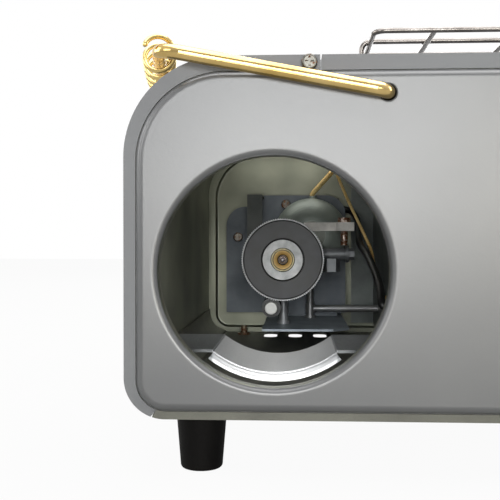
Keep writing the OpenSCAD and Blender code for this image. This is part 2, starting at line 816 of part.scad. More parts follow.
module nozzle_pin() {
    color("#c8b98a") placed() along_y(can_x, collar_y - 2.6, can_height) {
        cylinder(h = collar_thick + 2.6, r = 1.5);
        translate([0, 0, 4.2]) cylinder(h = collar_thick - 1.6, r = seat_hole - slip);
    }
}

// Cast valve body with a neck for the dome and bosses for the post and the outlet
module regulator_body() {
    color("#6d706c") placed() {
        along_y(can_x, body_y, can_height) cylinder(h = body_long, r = body_r);
        along_y(can_x, body_y, can_height) cylinder(h = 3, r = body_r + 2.5);
        along_y(dome_x, neck_y - 2, dome_z) cylinder(h = dome_y - cap_depth - neck_y + 2, r = neck_r);
        translate([can_x, post_y, post_top]) cylinder(h = 8, r = 4.5);
        along_x(can_x + 8, fitting_y, fitting_z) cylinder(h = fitting_start - can_x - 8, r = 5.5);
    }
}

// Diaphragm housing: a domed can with a boss on the mounting plate and one for the thermocouple
module diaphragm_dome() {
    flat = neck_r + 0.5;
    cap = cap_depth + cap_rise;
    cap_turn = 2 * atan((dome_r - flat) / cap);
    cap_r = cap / sin(cap_turn);
    color("#737b72") placed() {
        along_y(dome_x, dome_y, dome_z) rotate_extrude($fn = 72) polygon(concat(
            [[0, -cap_depth]],
            arc([dome_r - cap_r, cap_rise], cap_r, 360 - cap_turn, 360, 12),
            [[dome_r, 8], [dome_r - 1, 9], [dome_r - 1, 10.5], [dome_r - 4, 13], [10, 15]],
            [[10, plate_y - dome_y], [0, plate_y - dome_y]]
        ));
        translate([dome_x, pipe_y, spigot_z]) cylinder(h = 8, r = pipe_r + 1.6);
        translate([dome_x + thermo_side, dome_y + thermo_back, dome_z + dome_r / 2])
            cylinder(h = thermo_top - dome_z - dome_r / 2, r = 2.4);
    }
}

module lever_arm() {
    color("#a8a69f") placed() difference() {
        union() {
            translate([dome_x - 4.2, neck_y - 2 - lever_thick, lever_z])
                cube([lever_end - dome_x + 4.2, lever_thick, lever_height]);
            translate([screw_x - 4.5, fitting_y - 4.5, lever_z])
                cube([lever_end - screw_x + 4.5, neck_y - 2 - fitting_y + 4.5, lever_height]);
        }
        translate([screw_x, fitting_y, lever_z - 1])
            cylinder(h = lever_height + 2, r = lever_screw_r + slip);
    }
}

module lever_screw() {
    tip = fitting_z + fitting_r + fitting_lip + 0.3;
    color("#7a5238") placed() translate([screw_x, fitting_y, 0]) {
        translate([0, 0, tip]) cylinder(h = lever_z + lever_height - tip, r = lever_screw_r);
        translate([0, 0, lever_z + lever_height]) cylinder(h = 2.6, r = 3.6, $fn = 6);
    }
}

// Outlet with a collar, a hexagonal body below and a nut at its end
module outlet_fitting() {
    hex_x = fitting_start + 5;
    color("#a89a76") placed() {
        along_x(fitting_start, fitting_y, fitting_z)
            cylinder(h = fitting_end - fitting_start + 1, r = fitting_r);
        along_x(fitting_end, fitting_y, fitting_z) cylinder(h = 2, r = fitting_r + fitting_lip);
        translate([hex_x, fitting_y, fitting_z - 10]) cylinder(h = 7.5, r = 5, $fn = 6);
        along_x(fitting_end + 2, fitting_y, fitting_z) cylinder(h = 3, r = 3.2, $fn = 6);
    }
}

// Upright plate with rounded shoulders that carries the valve, on a foot on the shelf
module valve_mount_plate() {
    left = can_x - plate_left;
    right = can_x + plate_right;
    top = can_height + plate_rise;
    low = shelf_z + 2;
    shoulder = plate_shoulder;
    step_x = can_x - 17.5;
    color("#55595a") placed() difference() {
        union() {
            slab(plate_y, plate_y + plate_thick) polygon(concat(
                [[left, low], [right, low]],
                arc([right - shoulder, top - shoulder], shoulder, 0, 90, 8),
                [[step_x, top], [step_x, top - plate_step]],
                arc([left + shoulder, top - plate_step - shoulder], shoulder, 90, 180, 8)
            ));
            translate([can_x - 9, plate_y, shelf_z]) cube([42, plate_thick, 3]);
            translate([can_x - 9, plate_y, shelf_z]) cube([42, 12, plate_thick]);
        }
        along_y(can_x, plate_y - 1, can_height) cylinder(h = plate_thick + 2, r = spindle_r + 0.5);
        for (p = spacer_places) along_y(p.x, plate_y - 1, p.y)
            cylinder(h = plate_thick + 2, d = screw_d + slip);
    }
}

module plate_spacers() {
    color("#8f8f8c") placed() for (p = spacer_places)
        along_y(p.x, plate_y + plate_thick, p.y) difference() {
            cylinder(h = wall_y - plate_y - plate_thick, r = 3.5);
            translate([0, 0, -1]) cylinder(h = 14, d = screw_d + slip);
        }
}

module plate_screws() {
    color("#8b7f70") placed() for (p = spacer_places)
        translate([p.x, plate_y, p.y]) pan_screw(6, 2, screw_d, 11);
}

// Narrow upright strap behind the collar, bent back to the mounting plate
module support_strap() {
    strap_y = plate_y - strap_back;
    top = can_height + strap_rise;
    end = can_height - strap_drop;
    color("#9b9e9c") placed() {
        translate([can_x - 22, strap_y, end]) cube([9, plate_thick, top - end]);
        translate([can_x - 22, strap_y, top - plate_thick]) cube([9, plate_y - strap_y, plate_thick]);
    }
}

// Shelf under the valve, flanged onto the far end panel
module shelf_bracket() {
    rear = can_x - shelf_rear;
    front = can_x + shelf_front;
    near = collar_y - shelf_near;
    color("#4b5258") placed() {
        difference() {
            translate([0, 0, shelf_z - shelf_thick]) linear_extrude(shelf_thick) polygon([
                [rear, near], [front - 9, near], [front, near + 9], [front, wall_y], [rear, wall_y]
            ]);
            translate([can_x, post_y, shelf_z - 3]) cylinder(h = 5, d = 3 + 2 * slip);
        }
        translate([rear, wall_y - shelf_thick, shelf_z - shelf_thick])
            cube([front - rear, shelf_thick, 17]);
    }
}

// Post between the shelf and the valve, riveted over below the shelf
module shelf_post() {
    under = shelf_z - shelf_thick;
    color("#a39a92") placed() translate([can_x, post_y, 0]) {
        translate([0, 0, shelf_z]) cylinder(h = post_top - shelf_z, d = 5.5);
        translate([0, 0, shelf_z]) cylinder(h = 1.8, d = 7.2);
        translate([0, 0, under - 0.5]) cylinder(h = shelf_thick + 1, d = 3);
        translate([0, 0, under - 1.8]) cylinder(h = 1.8, d = 5.6);
    }
}

// Blind guide of the release pin, its web shaped to the valve body above it
module release_socket() {
    web_y = body_y + 3 + slip;
    color("#2c2e2f") placed() difference() {
        union() {
            along_y(release_x, socket_y, release_z) cylinder(h = socket_long, r = socket_r);
            translate([release_x - socket_web / 2, web_y, release_z])
                cube([socket_web, socket_end - web_y, release_drop - body_r / 2]);
        }
        along_y(can_x, socket_y - 1, can_height) cylinder(h = socket_long + 2, r = body_r);
        along_y(release_x, socket_y - 1, release_z) cylinder(h = socket_long - 1, r = release_r + slip);
    }
}

module release_pin() {
    color("#e4e4e2") placed() along_y(release_x, release_y, release_z) rotate_extrude() polygon(concat(
        [[0, 0]],
        arc([release_r - 0.6, 0.6], 0.6, 270, 360, 4),
        [[release_r, release_long], [0, release_long]]
    ));
}

// Gas pipe: down from the housing to a foot on the shelf, with a branch through the partition to the jet
module gas_pipe() {
    turn_x = venturi_x - pipe_bend;
    color("#b59a5e") placed() {
        rod([dome_x, pipe_y, shelf_z], [dome_x, pipe_y, spigot_z], pipe_diameter);
        translate([dome_x, pipe_y, shelf_z]) cylinder(h = 1.5, r = pipe_r + 1.2);
        translate([dome_x, pipe_y, pipe_z - pipe_r - 0.8])
            cylinder(h = pipe_diameter + 1.6, r = pipe_r + 0.7);
        rod([dome_x, pipe_y, pipe_z], [turn_x, pipe_y, pipe_z], pipe_diameter);
        flat_elbow([turn_x, pipe_y - pipe_bend, pipe_z], pipe_bend, 0, 90, pipe_diameter);
        rod([venturi_x, pipe_y - pipe_bend, pipe_z], [venturi_x, jet_y, pipe_z], pipe_diameter);
    }
}

// A smooth path through points, with steps between each pair
function blend(a, b, c, d, t) =
    0.5 * (2 * b + (c - a) * t + (2 * a - 5 * b + 4 * c - d) * t * t + (3 * b - a - 3 * c + d) * t * t * t);
function smooth(p, steps) = concat([
    for (i = [0:len(p) - 2], s = [0:steps - 1])
        blend(p[max(i - 1, 0)], p[i], p[i + 1], p[min(i + 2, len(p) - 1)], s / steps)
], [p[len(p) - 1]]);

// A round lead along a path, thicker up to sleeve_end, its two ends square to the directions given
module lead(points, d, sides, from, into, sleeve_d, sleeve_end) {
    last = len(points) - 1;
    tube([for (k = [0:last])
        let (along = k == 0 ? from : k == last ? into : unit(points[k + 1] - points[k - 1]))
        ring(points[k], unit(cross(along, [1, 1, 1])), along, (k < sleeve_end ? sleeve_d : d) / 2, sides)]);
}

module thermocouple_lead() {
    color("#b07a3c") placed() lead(smooth([
        [dome_x + thermo_side, dome_y + thermo_back, thermo_top],
        [dome_x + thermo_side + 0.5, dome_y + thermo_back - 0.3, thermo_top + 2.3],
        [-10.2, dome_y, can_height + 50.2], [-8.4, dome_y - 4, can_height + 53.4],
        [-6.8, dome_y - 8, can_height + 47.2], [-1.3, dome_y - 12, can_height + 33.4],
        [5.3, dome_y - 15, can_height + 18.9], [11.1, dome_y - 18, can_height + 5.6],
        [12.1, dome_y - 22, can_height - 0.2], [12.8, dome_y - 28, can_height - 6.4],
        [14, dome_y - 36, can_height - 12.4], [14.6, dome_y - 46, can_height - 18.2], thermo_hole,
        [partition_x + 6, 14.5, foot_height + 26], [partition_x + 11, 12.5, foot_height + 20],
        [partition_x + 24, sensor_y, foot_height + 12],
        [sensor_x - 8, sensor_y, foot_height + 6], [sensor_x - 1, sensor_y, foot_height + 8.5],
        [sensor_x, sensor_y, foot_height + 12]
    ], 4), 1.8, 8, [0, 0, 1], [0, 0, 1], 3, 9);
}

module ignition_lead() {
    color("#141414") placed() lead(smooth([
        [can_x + 34, plate_y + 11, can_height + 31], [4, plate_y + 7, can_height + 28.8],
        [7, plate_y - 7, can_height + 22.8], [6.5, dome_y + 12, can_height + 17.3],
        [4.9, dome_y - 18, can_height + 9], [7.5, dome_y - 34, can_height + 3.2],
        [9.6, dome_y - 50, can_height - 3.6], [10.9, dome_y - 65, can_height - 9.9],
        [11.2, 2, can_height - 15.9], [11.6, -5.5, can_height - 21.4],
        spark_hole, [partition_x + 13, -11.5, foot_height + 14],
        [partition_x + 32, -sensor_y, foot_height + 9],
        [sensor_x - 8, -sensor_y, foot_height + 6], [sensor_x - 1, -sensor_y, foot_height + 8.5],
        [sensor_x, -sensor_y, foot_height + 12]
    ], 4), 3.2, 8, [1, 0, 0], [0, 0, 1], 4, 37);
}

// Piezo igniter on the far end panel, worked by the knob's spindle
module igniter_unit() {
    color("#26282a") placed() difference() {
        translate([can_x + 18, plate_y + 4, can_height + 25]) cube([16, wall_y - plate_y - 4, 12]);
        translate([can_x + 30, plate_y + 3, can_height + 24]) cube([5, 4, 4]);
    }
}

module spindle_bush() {
    color("#b08d4f") placed() along_y(can_x, plate_y + plate_thick, can_height) difference() {
        union() {
            cylinder(h = face_y - plate_y - plate_thick, r = spindle_r + 2);
            cylinder(h = wall_y - plate_y - plate_thick, r = spindle_r + 4, $fn = 6);
        }
        translate([0, 0, -1]) cylinder(h = 40, r = spindle_r + pivot_clearance);
    }
}

module valve_spindle() {
    color("#c4b48a") placed() along_y(can_x, spindle_in, can_height)
        cylinder(h = max_y - 6 - spindle_in, r = spindle_r);
}

// Round knob with a grip bar across its face and a bore for the spindle
module control_knob() {
    base = face_y + knob_gap;
    knob_r = knob_diameter / 2;
    color("#232426") placed() along_y(can_x, base, can_height) difference() {
        union() {
            rotate_extrude($fn = 72) polygon(concat(
                [[0, 0], [knob_r, 0]],
                arc([knob_r - 2, 6], 2, 0, 90, 5),
                [[0, 8]]
            ));
            intersection() {
                translate([-5, -knob_r, 6]) cube([10, 2 * knob_r, knob_height - 6]);
                cylinder(h = knob_height, r1 = knob_r + 1, r2 = knob_r - 4);
            }
        }
        translate([0, 0, -1]) cylinder(h = knob_height - 5, r = spindle_r);
    }
}

// Open burner box with a ledge for the plaque and two bosses on the partition
module burner_box() {
    deep = plaque_front - 3 - burner_back;
    color("#8b8d8e") placed() translate([0, 0, window_z]) difference() {
        union() {
            translate([burner_back, -box_y, -box_z]) cube([deep, 2 * box_y, 2 * box_z]);
            for (y = [-boss_y, boss_y]) along_x(partition_x + sheet, y, 0)
                cylinder(h = boss_long + 1, r = boss_r);
        }
        translate([burner_back + box_wall, -box_y + box_wall + ledge, -box_z + box_wall + ledge])
            cube([deep, 2 * (box_y - box_wall - ledge), 2 * (box_z - box_wall - ledge)]);
        translate([plaque_x, -box_y + box_wall, -box_z + box_wall])
            cube([deep, 2 * (box_y - box_wall), 2 * (box_z - box_wall)]);
    }
}

module ceramic_plaque() {
    color("#e3d9c8") placed() translate([plaque_x, -plaque_length / 2, window_z - plaque_height / 2])
        cube([plaque_thick, plaque_length, plaque_height]);
}

// Frame that clips over the burner box and holds the plaque's edge
module plaque_frame() {
    color("#c9cccd") placed() translate([0, 0, window_z]) difference() {
        translate([plaque_front - frame_grip, -frame_y, -frame_z])
            cube([frame_grip + frame_thick, 2 * frame_y, 2 * frame_z]);
        translate([plaque_front - frame_grip - 1, -box_y - slip, -box_z - slip])
            cube([frame_grip + 1, 2 * (box_y + slip), 2 * (box_z + slip)]);
        translate([plaque_front - 1, -plaque_length / 2 + frame_lap, -plaque_height / 2 + frame_lap])
            cube([frame_grip + 1, plaque_length - 2 * frame_lap, plaque_height - 2 * frame_lap]);
    }
}

// A tapered block along X, from a small rectangle to a large one
module taper(x0, y0, z0, x1, y1, z1) {
    polyhedron(
        [for (e = [[x0, y0, z0], [x1, y1, z1]], c = [[-1, -1], [1, -1], [1, 1], [-1, 1]])
            [e.x, c.x * e.y, c.y * e.z]],
        [[0, 1, 2, 3], [7, 6, 5, 4], [0, 4, 5, 1], [1, 5, 6, 2], [2, 6, 7, 3], [3, 7, 4, 0]]
    );
}

// Bright pan from the plaque's frame out to the window, with a rim behind the front cover
module reflector() {
    x0 = plaque_front - 2;
    y0 = frame_y + 0.4;
    z0 = frame_z + 0.4;
    y1 = window_length / 2 + 0.4;
    z1 = window_height / 2 + 0.4;
    color("#d5d7d8") placed() translate([0, 0, window_z]) difference() {
        union() {
            taper(x0, y0 + pan_sheet, z0 + pan_sheet, front_in, y1 + pan_sheet, z1 + pan_sheet);
            translate([front_in - pan_sheet, -y1 - window_rim, -z1 - window_rim + 1])
                cube([pan_sheet, 2 * (y1 + window_rim), 2 * (z1 + window_rim - 1)]);
        }
        taper(x0 - 1, y0 - (y1 - y0) / (front_in - x0), z0 - (z1 - z0) / (front_in - x0),
            front_in + 1, y1 + (y1 - y0) / (front_in - x0), z1 + (z1 - z0) / (front_in - x0));
        for (y = [-sensor_y, sensor_y]) translate([sensor_x, y, -z1 - 6]) cylinder(h = 12, r = 3.6);
    }
}

// Brass jet at the end of the pipe, pointing into the venturi
module gas_jet() {
    color("#b08d4f") placed() translate([venturi_x, jet_y, pipe_z]) rotate([90, 0, 0]) {
        cylinder(h = 6, r = 5, $fn = 6);
        cylinder(h = 8, r = 3);
        translate([0, 0, 8]) cylinder(h = 3, r1 = 3, r2 = 1.2);
    }
}

// Mixing tube under the burner box, belled at its mouth, with a riser into the box
module venturi_tube() {
    mouth = jet_y - 9;
    long = mouth - 22;
    color("#9fa2a3") placed() {
        translate([venturi_x, mouth, pipe_z]) rotate([90, 0, 0]) difference() {
            union() {
                cylinder(h = long, r = venturi_r);
                cylinder(h = 4, r = venturi_r + 2);
            }
            translate([0, 0, -1]) cylinder(h = long - 1, r = venturi_r - 1);
        }
        translate([venturi_x, mouth - long + 7, pipe_z + venturi_r - 0.6])
            cylinder(h = window_z - box_z - pipe_z - venturi_r + 0.6, r = riser_r);
    }
}

// Bracket on the floor for the electrode and the thermocouple
module sensor_bracket() {
    color("#8f9192") placed() difference() {
        union() {
            translate([sensor_x - 6, -20, sensor_z]) cube([12, 40, 1.2]);
            translate([sensor_x + 4.8, -20, floor_z]) cube([1.2, 40, sensor_z + 1.2 - floor_z]);
            translate([sensor_x - 6, -20, floor_z]) cube([12, 40, 1.2]);
        }
        for (y = [-sensor_y, sensor_y]) translate([sensor_x, y, sensor_z - 1]) cylinder(h = 4, r = 2.8);
    }
}

module ignition_electrode() {
    low = foot_height + 12;
    color("#e8e6e0") placed() translate([sensor_x, -sensor_y, low]) {
        cylinder(h = sensor_z + 13 - low, r = 2.7);
        translate([0, 0, sensor_z + 1.2 - low]) cylinder(h = 2, r = 3.4);
        translate([0, 0, sensor_z + 12 - low]) cylinder(h = 6, r = 0.9);
        translate([0, 0, sensor_z + 18 - low]) rotate([0, -60, 0]) cylinder(h = 9, r = 0.9);
    }
}

module thermocouple_probe() {
    low = foot_height + 12;
    color("#b0814a") placed() translate([sensor_x, sensor_y, low]) {
        cylinder(h = sensor_z + 1.2 - low, r = 2.2);
        translate([0, 0, sensor_z + 1.2 - low]) cylinder(h = 2, r = 3.4);
        translate([0, 0, sensor_z + 3 - low]) cylinder(h = 20, r = 1.9);
    }
}

rear_cover();
front_cover();
bottom_plate();
canister_end_panel();
control_end_panel();
partition_wall();
case_screws();
rubber_feet();
foot_screws();
foot_nuts();
guard_grille();
bail_bushes();
handle_bail();
handle_coil();
push_nuts();
canister_cradle();
collar_disc();
ring_magnet();
seat_ring();
nozzle_pin();
regulator_body();
diaphragm_dome();
lever_arm();
lever_screw();
outlet_fitting();
valve_mount_plate();
plate_spacers();
plate_screws();
support_strap();
shelf_bracket();
shelf_post();
release_socket();
release_pin();
gas_pipe();
thermocouple_lead();
ignition_lead();
igniter_unit();
spindle_bush();
valve_spindle();
control_knob();
burner_box();
ceramic_plaque();
plaque_frame();
reflector();
gas_jet();
venturi_tube();
sensor_bracket();
ignition_electrode();
thermocouple_probe();
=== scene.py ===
import math

import bpy
import numpy as np
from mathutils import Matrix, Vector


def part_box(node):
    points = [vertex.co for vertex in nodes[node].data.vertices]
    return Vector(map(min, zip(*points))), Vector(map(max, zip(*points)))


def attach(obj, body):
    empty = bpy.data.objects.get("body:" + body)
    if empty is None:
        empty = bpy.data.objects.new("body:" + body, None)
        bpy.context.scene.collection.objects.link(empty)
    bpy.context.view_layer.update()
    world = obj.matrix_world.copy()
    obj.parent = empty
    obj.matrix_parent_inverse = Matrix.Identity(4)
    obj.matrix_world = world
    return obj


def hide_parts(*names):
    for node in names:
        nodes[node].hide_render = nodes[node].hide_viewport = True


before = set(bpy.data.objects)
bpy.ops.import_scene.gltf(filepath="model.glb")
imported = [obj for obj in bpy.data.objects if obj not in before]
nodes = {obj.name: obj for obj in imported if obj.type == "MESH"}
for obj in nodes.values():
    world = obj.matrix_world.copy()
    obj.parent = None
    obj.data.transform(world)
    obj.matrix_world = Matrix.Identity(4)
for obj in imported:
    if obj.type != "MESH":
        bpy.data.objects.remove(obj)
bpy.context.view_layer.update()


# Camera
# It stands square to the canister end, a little above the port's axis, and
# looks slightly to the left, so that the heater runs out of the picture.
photo_px = 500
focal_px = 855
camera_data = bpy.data.cameras.new("camera")
camera_data.sensor_fit = "HORIZONTAL"
camera_data.sensor_width = 36
camera_data.lens = camera_data.sensor_width * focal_px / photo_px
camera_data.clip_start = 0.01
camera = bpy.data.objects.new("camera", camera_data)
camera_place = (-0.03869, -0.43155, 0.0809)
look_down, look_left = 0.67, 3.21
camera.location = camera_place
camera.rotation_euler = (math.radians(90 - look_down), 0, math.radians(look_left))
bpy.context.scene.collection.objects.link(camera)
bpy.context.scene.camera = camera
bpy.context.scene.view_settings.view_transform = "Standard"


# Studio
# A pale floor in a white room. A large soft box stands far behind the camera and a small
# one below the lens looks into the canister port; others light the top and the sides, and
# two very small ones inside the case fill the dark above the valve and the cradle.
def soft_box(name, place, aim, wide, high, watts, tint=(1, 1, 1)):
    """A lamp of wide by high metres at place, turned to face the point aim."""
    lamp = bpy.data.lights.new(name, "AREA")
    lamp.shape = "RECTANGLE"
    lamp.size, lamp.size_y = wide, high
    lamp.energy = watts
    lamp.color = tint
    lamp_object = bpy.data.objects.new(name, lamp)
    lamp_object.location = place
    lamp_object.visible_camera = False
    back = np.array(place) - np.array(aim)
    flat = math.hypot(back[0], back[1])
    lamp_object.rotation_euler = (math.atan2(flat, back[2]), 0, math.atan2(back[0], -back[1]))
    bpy.context.scene.collection.objects.link(lamp_object)


soft_box("box_front", (0.02, -2.9, 0.6), (-0.03, 0, 0.08), 1.35, 0.85, 30, (0.97, 0.99, 1))
soft_box("box_lens", (-0.06, -0.47, 0.085), (-0.045, 0.1, 0.08), 0.2, 0.12, 0.27, (1, 0.98, 0.93))
soft_box("box_low", (0.62, -1.65, 0.2), (0.03, -0.1, 0.06), 0.5, 0.35, 5, (1, 0.95, 0.82))
soft_box("box_left", (-1.7, -1.3, 0.75), (0, -0.1, 0.08), 0.9, 0.9, 9)
soft_box("box_above", (0.05, -0.1, 1.2), (0, 0, 0.08), 1.4, 1.4, 22)
soft_box("box_rear", (-1.2, 0.2, 0.5), (0, 0, 0.08), 0.7, 0.7, 6)
soft_box("box_burner", (1.25, 0.1, 0.5), (0, 0, 0.08), 0.7, 0.7, 7)
soft_box("box_knob", (0.2, 1.4, 0.5), (0, 0, 0.08), 0.7, 0.7, 7)
soft_box("box_valve", (-0.045, 0.075, 0.134), (-0.045, 0.088, 0.1), 0.07, 0.03, 0.012, (1, 0.99, 0.93))
soft_box("box_bay", (-0.047, -0.085, 0.095), (-0.047, -0.055, 0.02), 0.04, 0.03, 0.035)

bright_way, fade_start, fade_end = (0, 0.8, 0.7), -0.9, 0.5
world = bpy.data.worlds.new("studio")
world.use_nodes = True
bpy.context.scene.world = world
room = world.node_tree
room.nodes.clear()
room_turn = room.nodes.new("ShaderNodeTexCoord")
room_axes = room.nodes.new("ShaderNodeVectorMath")
room_axes.operation = "DOT_PRODUCT"
room_axes.inputs[1].default_value = bright_way
room.links.new(room_turn.outputs["Generated"], room_axes.inputs[0])


def room_wall(behind, ahead, tint):
    """Light from all round, of strength behind at the camera's back and ahead in front and above."""
    fade = room.nodes.new("ShaderNodeMapRange")
    fade.inputs["From Min"].default_value = fade_start
    fade.inputs["From Max"].default_value = fade_end
    fade.inputs["To Min"].default_value = behind
    fade.inputs["To Max"].default_value = ahead
    wall = room.nodes.new("ShaderNodeBackground")
    wall.inputs["Color"].default_value = tint
    room.links.new(room_axes.outputs["Value"], fade.inputs["Value"])
    room.links.new(fade.outputs["Result"], wall.inputs["Strength"])
    return wall.outputs["Background"]


def ray_kinds(tree):
    """Two numbers: 1 for rays that leave a glossy or a clear surface, and 1 for the camera's own rays."""
    rays = tree.nodes.new("ShaderNodeLightPath")
    either = tree.nodes.new("ShaderNodeMath")
    either.operation = "MAXIMUM"
    tree.links.new(rays.outputs["Is Glossy Ray"], either.inputs[0])
    tree.links.new(rays.outputs["Is Transmission Ray"], either.inputs[1])
    return either.outputs["Value"], rays.outputs["Is Camera Ray"]


def shown(tree, share, first, second):
    """The first shader where share is 0 and the second where it is 1."""
    mix = tree.nodes.new("ShaderNodeMixShader")
    tree.links.new(share, mix.inputs["Fac"])
    tree.links.new(first, mix.inputs[1])
    tree.links.new(second, mix.inputs[2])
    return mix.outputs["Shader"]


in_metal, in_view = ray_kinds(room)
room_light = room_wall(0.05, 0.4, (0.96, 0.98, 1.0, 1))
room_metal = room_wall(0.45, 1.1, (1, 1, 1, 1))
room_white = room_wall(1.0, 1.0, (1, 1, 1, 1))
room_out = room.nodes.new("ShaderNodeOutputWorld")
room.links.new(shown(room, in_view, shown(room, in_metal, room_light, room_metal), room_white),
               room_out.inputs["Surface"])

floor_half = 3.2
floor_in_view, floor_in_metal = 0.95, 0.3
floor_mesh = bpy.data.meshes.new("floor")
floor_mesh.from_pydata(
    [(-floor_half, -floor_half, 0), (floor_half, -floor_half, 0),
     (floor_half, floor_half, 0), (-floor_half, floor_half, 0)], [], [(0, 1, 2, 3)])
floor = bpy.data.objects.new("floor", floor_mesh)
bpy.context.scene.collection.objects.link(floor)
floor_paint = bpy.data.materials.new("pale_floor")
floor_paint.use_nodes = True
floor_tree = floor_paint.node_tree
floor_base = floor_tree.nodes["Principled BSDF"]
floor_base.inputs["Base Color"].default_value = (0.3, 0.3, 0.285, 1)
floor_base.inputs["Roughness"].default_value = 0.9
floor_glow = floor_tree.nodes.new("ShaderNodeEmission")
in_metal, in_view = ray_kinds(floor_tree)
floor_share = floor_tree.nodes.new("ShaderNodeMath")
floor_share.operation = "MULTIPLY"
floor_share.inputs[1].default_value = floor_in_metal
floor_more = floor_tree.nodes.new("ShaderNodeMath")
floor_more.operation = "MULTIPLY_ADD"
floor_more.inputs[1].default_value = floor_in_view
floor_tree.links.new(in_metal, floor_share.inputs[0])
floor_tree.links.new(in_view, floor_more.inputs[0])
floor_tree.links.new(floor_share.outputs["Value"], floor_more.inputs[2])
floor_tree.links.new(shown(floor_tree, floor_more.outputs["Value"], floor_base.outputs["BSDF"],
                           floor_glow.outputs["Emission"]),
                     floor_tree.nodes["Material Output"].inputs["Surface"])
floor_mesh.materials.append(floor_paint)


# Case covers
# Two bent steel sheets, one over the rear and one over the front, which meet at the top
# seam and are screwed down at each end. Satin grey stove enamel outside, bare olive-grey
# zinc inside.
def linear(hex_colour):
    """A colour written as in a picture editor, as the shader's linear red, green and blue."""
    s = np.array([int(hex_colour[i:i + 2], 16) for i in (1, 3, 5)]) / 255
    return (*np.where(s <= 0.04045, s / 12.92, ((s + 0.055) / 1.055) ** 2.4), 1.0)


def new_finish(name, **sockets):
    """A material with the shader's uniform sockets set: its tree, its shader and Object coordinates."""
    material = bpy.data.materials.new(name)
    material.use_nodes = True
    tree = material.node_tree
    shader = tree.nodes["Principled BSDF"]
    for socket, value in sockets.items():
        shader.inputs[socket.replace("_", " ")].default_value = value
    where = tree.nodes.new("ShaderNodeTexCoord").outputs["Object"]
    return material, tree, shader, where


def patches(tree, where, size, stretch=(1, 1, 1), detail=2.0):
    """Noise whose patches are about size metres across, drawn out along each axis by stretch."""
    scale = tree.nodes.new("ShaderNodeMapping")
    scale.inputs["Scale"].default_value = [1 / (size * s) for s in stretch]
    noise = tree.nodes.new("ShaderNodeTexNoise")
    noise.inputs["Scale"].default_value = 1
    noise.inputs["Detail"].default_value = detail
    tree.links.new(where, scale.inputs["Vector"])
    tree.links.new(scale.outputs["Vector"], noise.inputs["Vector"])
    return noise.outputs["Fac"]


def tones(tree, value, *stops):
    """A colour that runs through the stops, each a place from 0 to 1 and a written colour."""
    ramp = tree.nodes.new("ShaderNodeValToRGB")
    band = ramp.color_ramp
    while len(band.elements) < len(stops):
        band.elements.new(0.5)
    for element, (place, colour) in zip(band.elements, stops):
        element.position = place
        element.color = linear(colour)
    tree.links.new(value, ramp.inputs["Fac"])
    return ramp.outputs["Color"]


def levels(tree, value, low, high, start=0.3, end=0.7):
    """A number that goes from low to high as value goes from start to end."""
    span = tree.nodes.new("ShaderNodeMapRange")
    span.inputs["From Min"].default_value = start
    span.inputs["From Max"].default_value = end
    span.inputs["To Min"].default_value = low
    span.inputs["To Max"].default_value = high
    tree.links.new(value, span.inputs["Value"])
    return span.outputs["Result"]


def mixed(tree, share, first, second):
    """The first colour where share is 0 and the second where it is 1."""
    mix = tree.nodes.new("ShaderNodeMix")
    mix.data_type = "RGBA"
    tree.links.new(share, mix.inputs["Factor"])
    tree.links.new(first, mix.inputs[6])
    tree.links.new(second, mix.inputs[7])
    return mix.outputs[2]


def relief(tree, shader, height, depth):
    """Raises the surface by height times depth metres, in the shading only."""
    bump = tree.nodes.new("ShaderNodeBump")
    bump.inputs["Distance"].default_value = depth
    tree.links.new(height, bump.inputs["Height"])
    tree.links.new(bump.outputs["Normal"], shader.inputs["Normal"])


def dress(material, *names):
    """Gives the CAD nodes of these names this material alone."""
    for name in names:
        mesh = nodes[name].data
        mesh.materials.clear()
        mesh.materials.append(material)


foot_low, foot_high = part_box("rubber_feet")
middle = np.array((foot_low + foot_high) / 2)
case_middle_height = 0.0815
case_middle = (middle[0], middle[1], case_middle_height)


def outside(tree, where):
    """1 on faces that look away from the middle of the case, 0 on those that look into it."""
    coordinates = where.node
    out = tree.nodes.new("ShaderNodeVectorMath")
    out.operation = "SUBTRACT"
    out.inputs[1].default_value = case_middle
    facing = tree.nodes.new("ShaderNodeVectorMath")
    facing.operation = "DOT_PRODUCT"
    step = tree.nodes.new("ShaderNodeMath")
    step.operation = "GREATER_THAN"
    step.inputs[1].default_value = 0
    tree.links.new(where, out.inputs[0])
    tree.links.new(out.outputs["Vector"], facing.inputs[0])
    tree.links.new(coordinates.outputs["Normal"], facing.inputs[1])
    tree.links.new(facing.outputs["Value"], step.inputs[0])
    return step.outputs["Value"]


cloud_size, peel_size, speck_size = 0.05, 0.0011, 0.00035
peel_depth, zinc_metal = 0.000014, 0.75


def enamel(name, dark, light, low, high, mirror):
    """Satin enamel with a cloudy tone, roughness from low to high and an orange peel of a millimetre,
    over zinc-coated sheet, which stays bare on inner faces."""
    material, tree, shader, where = new_finish(name, Specular_IOR_Level=mirror)
    cloud = patches(tree, where, cloud_size, detail=4)
    peel = patches(tree, where, peel_size, detail=2)
    speck = patches(tree, where, speck_size, detail=1)
    coated = outside(tree, where)
    coat = tones(tree, cloud, (0.3, dark), (0.7, light))
    zinc = tones(tree, cloud, (0.3, "#5f6257"), (0.7, "#8f9181"))
    tree.links.new(mixed(tree, coated, zinc, coat), shader.inputs["Base Color"])
    tree.links.new(levels(tree, coated, zinc_metal, 0, 0, 1), shader.inputs["Metallic"])
    tree.links.new(levels(tree, speck, low, high), shader.inputs["Roughness"])
    relief(tree, shader, peel, peel_depth)
    return material


dress(enamel("cover_enamel", "#606164", "#686a6c", 0.44, 0.52, 0.6), "rear_cover", "front_cover")


# End panels
# Each is pressed from one steel sheet with a rolled edge, fixed behind the flanges of the
# covers and enamelled glossier than they are. The near one has the turned-in port.
dress(enamel("panel_enamel", "#4b4c4e", "#535455", 0.29, 0.35, 1.0),
      "canister_end_panel", "control_end_panel")


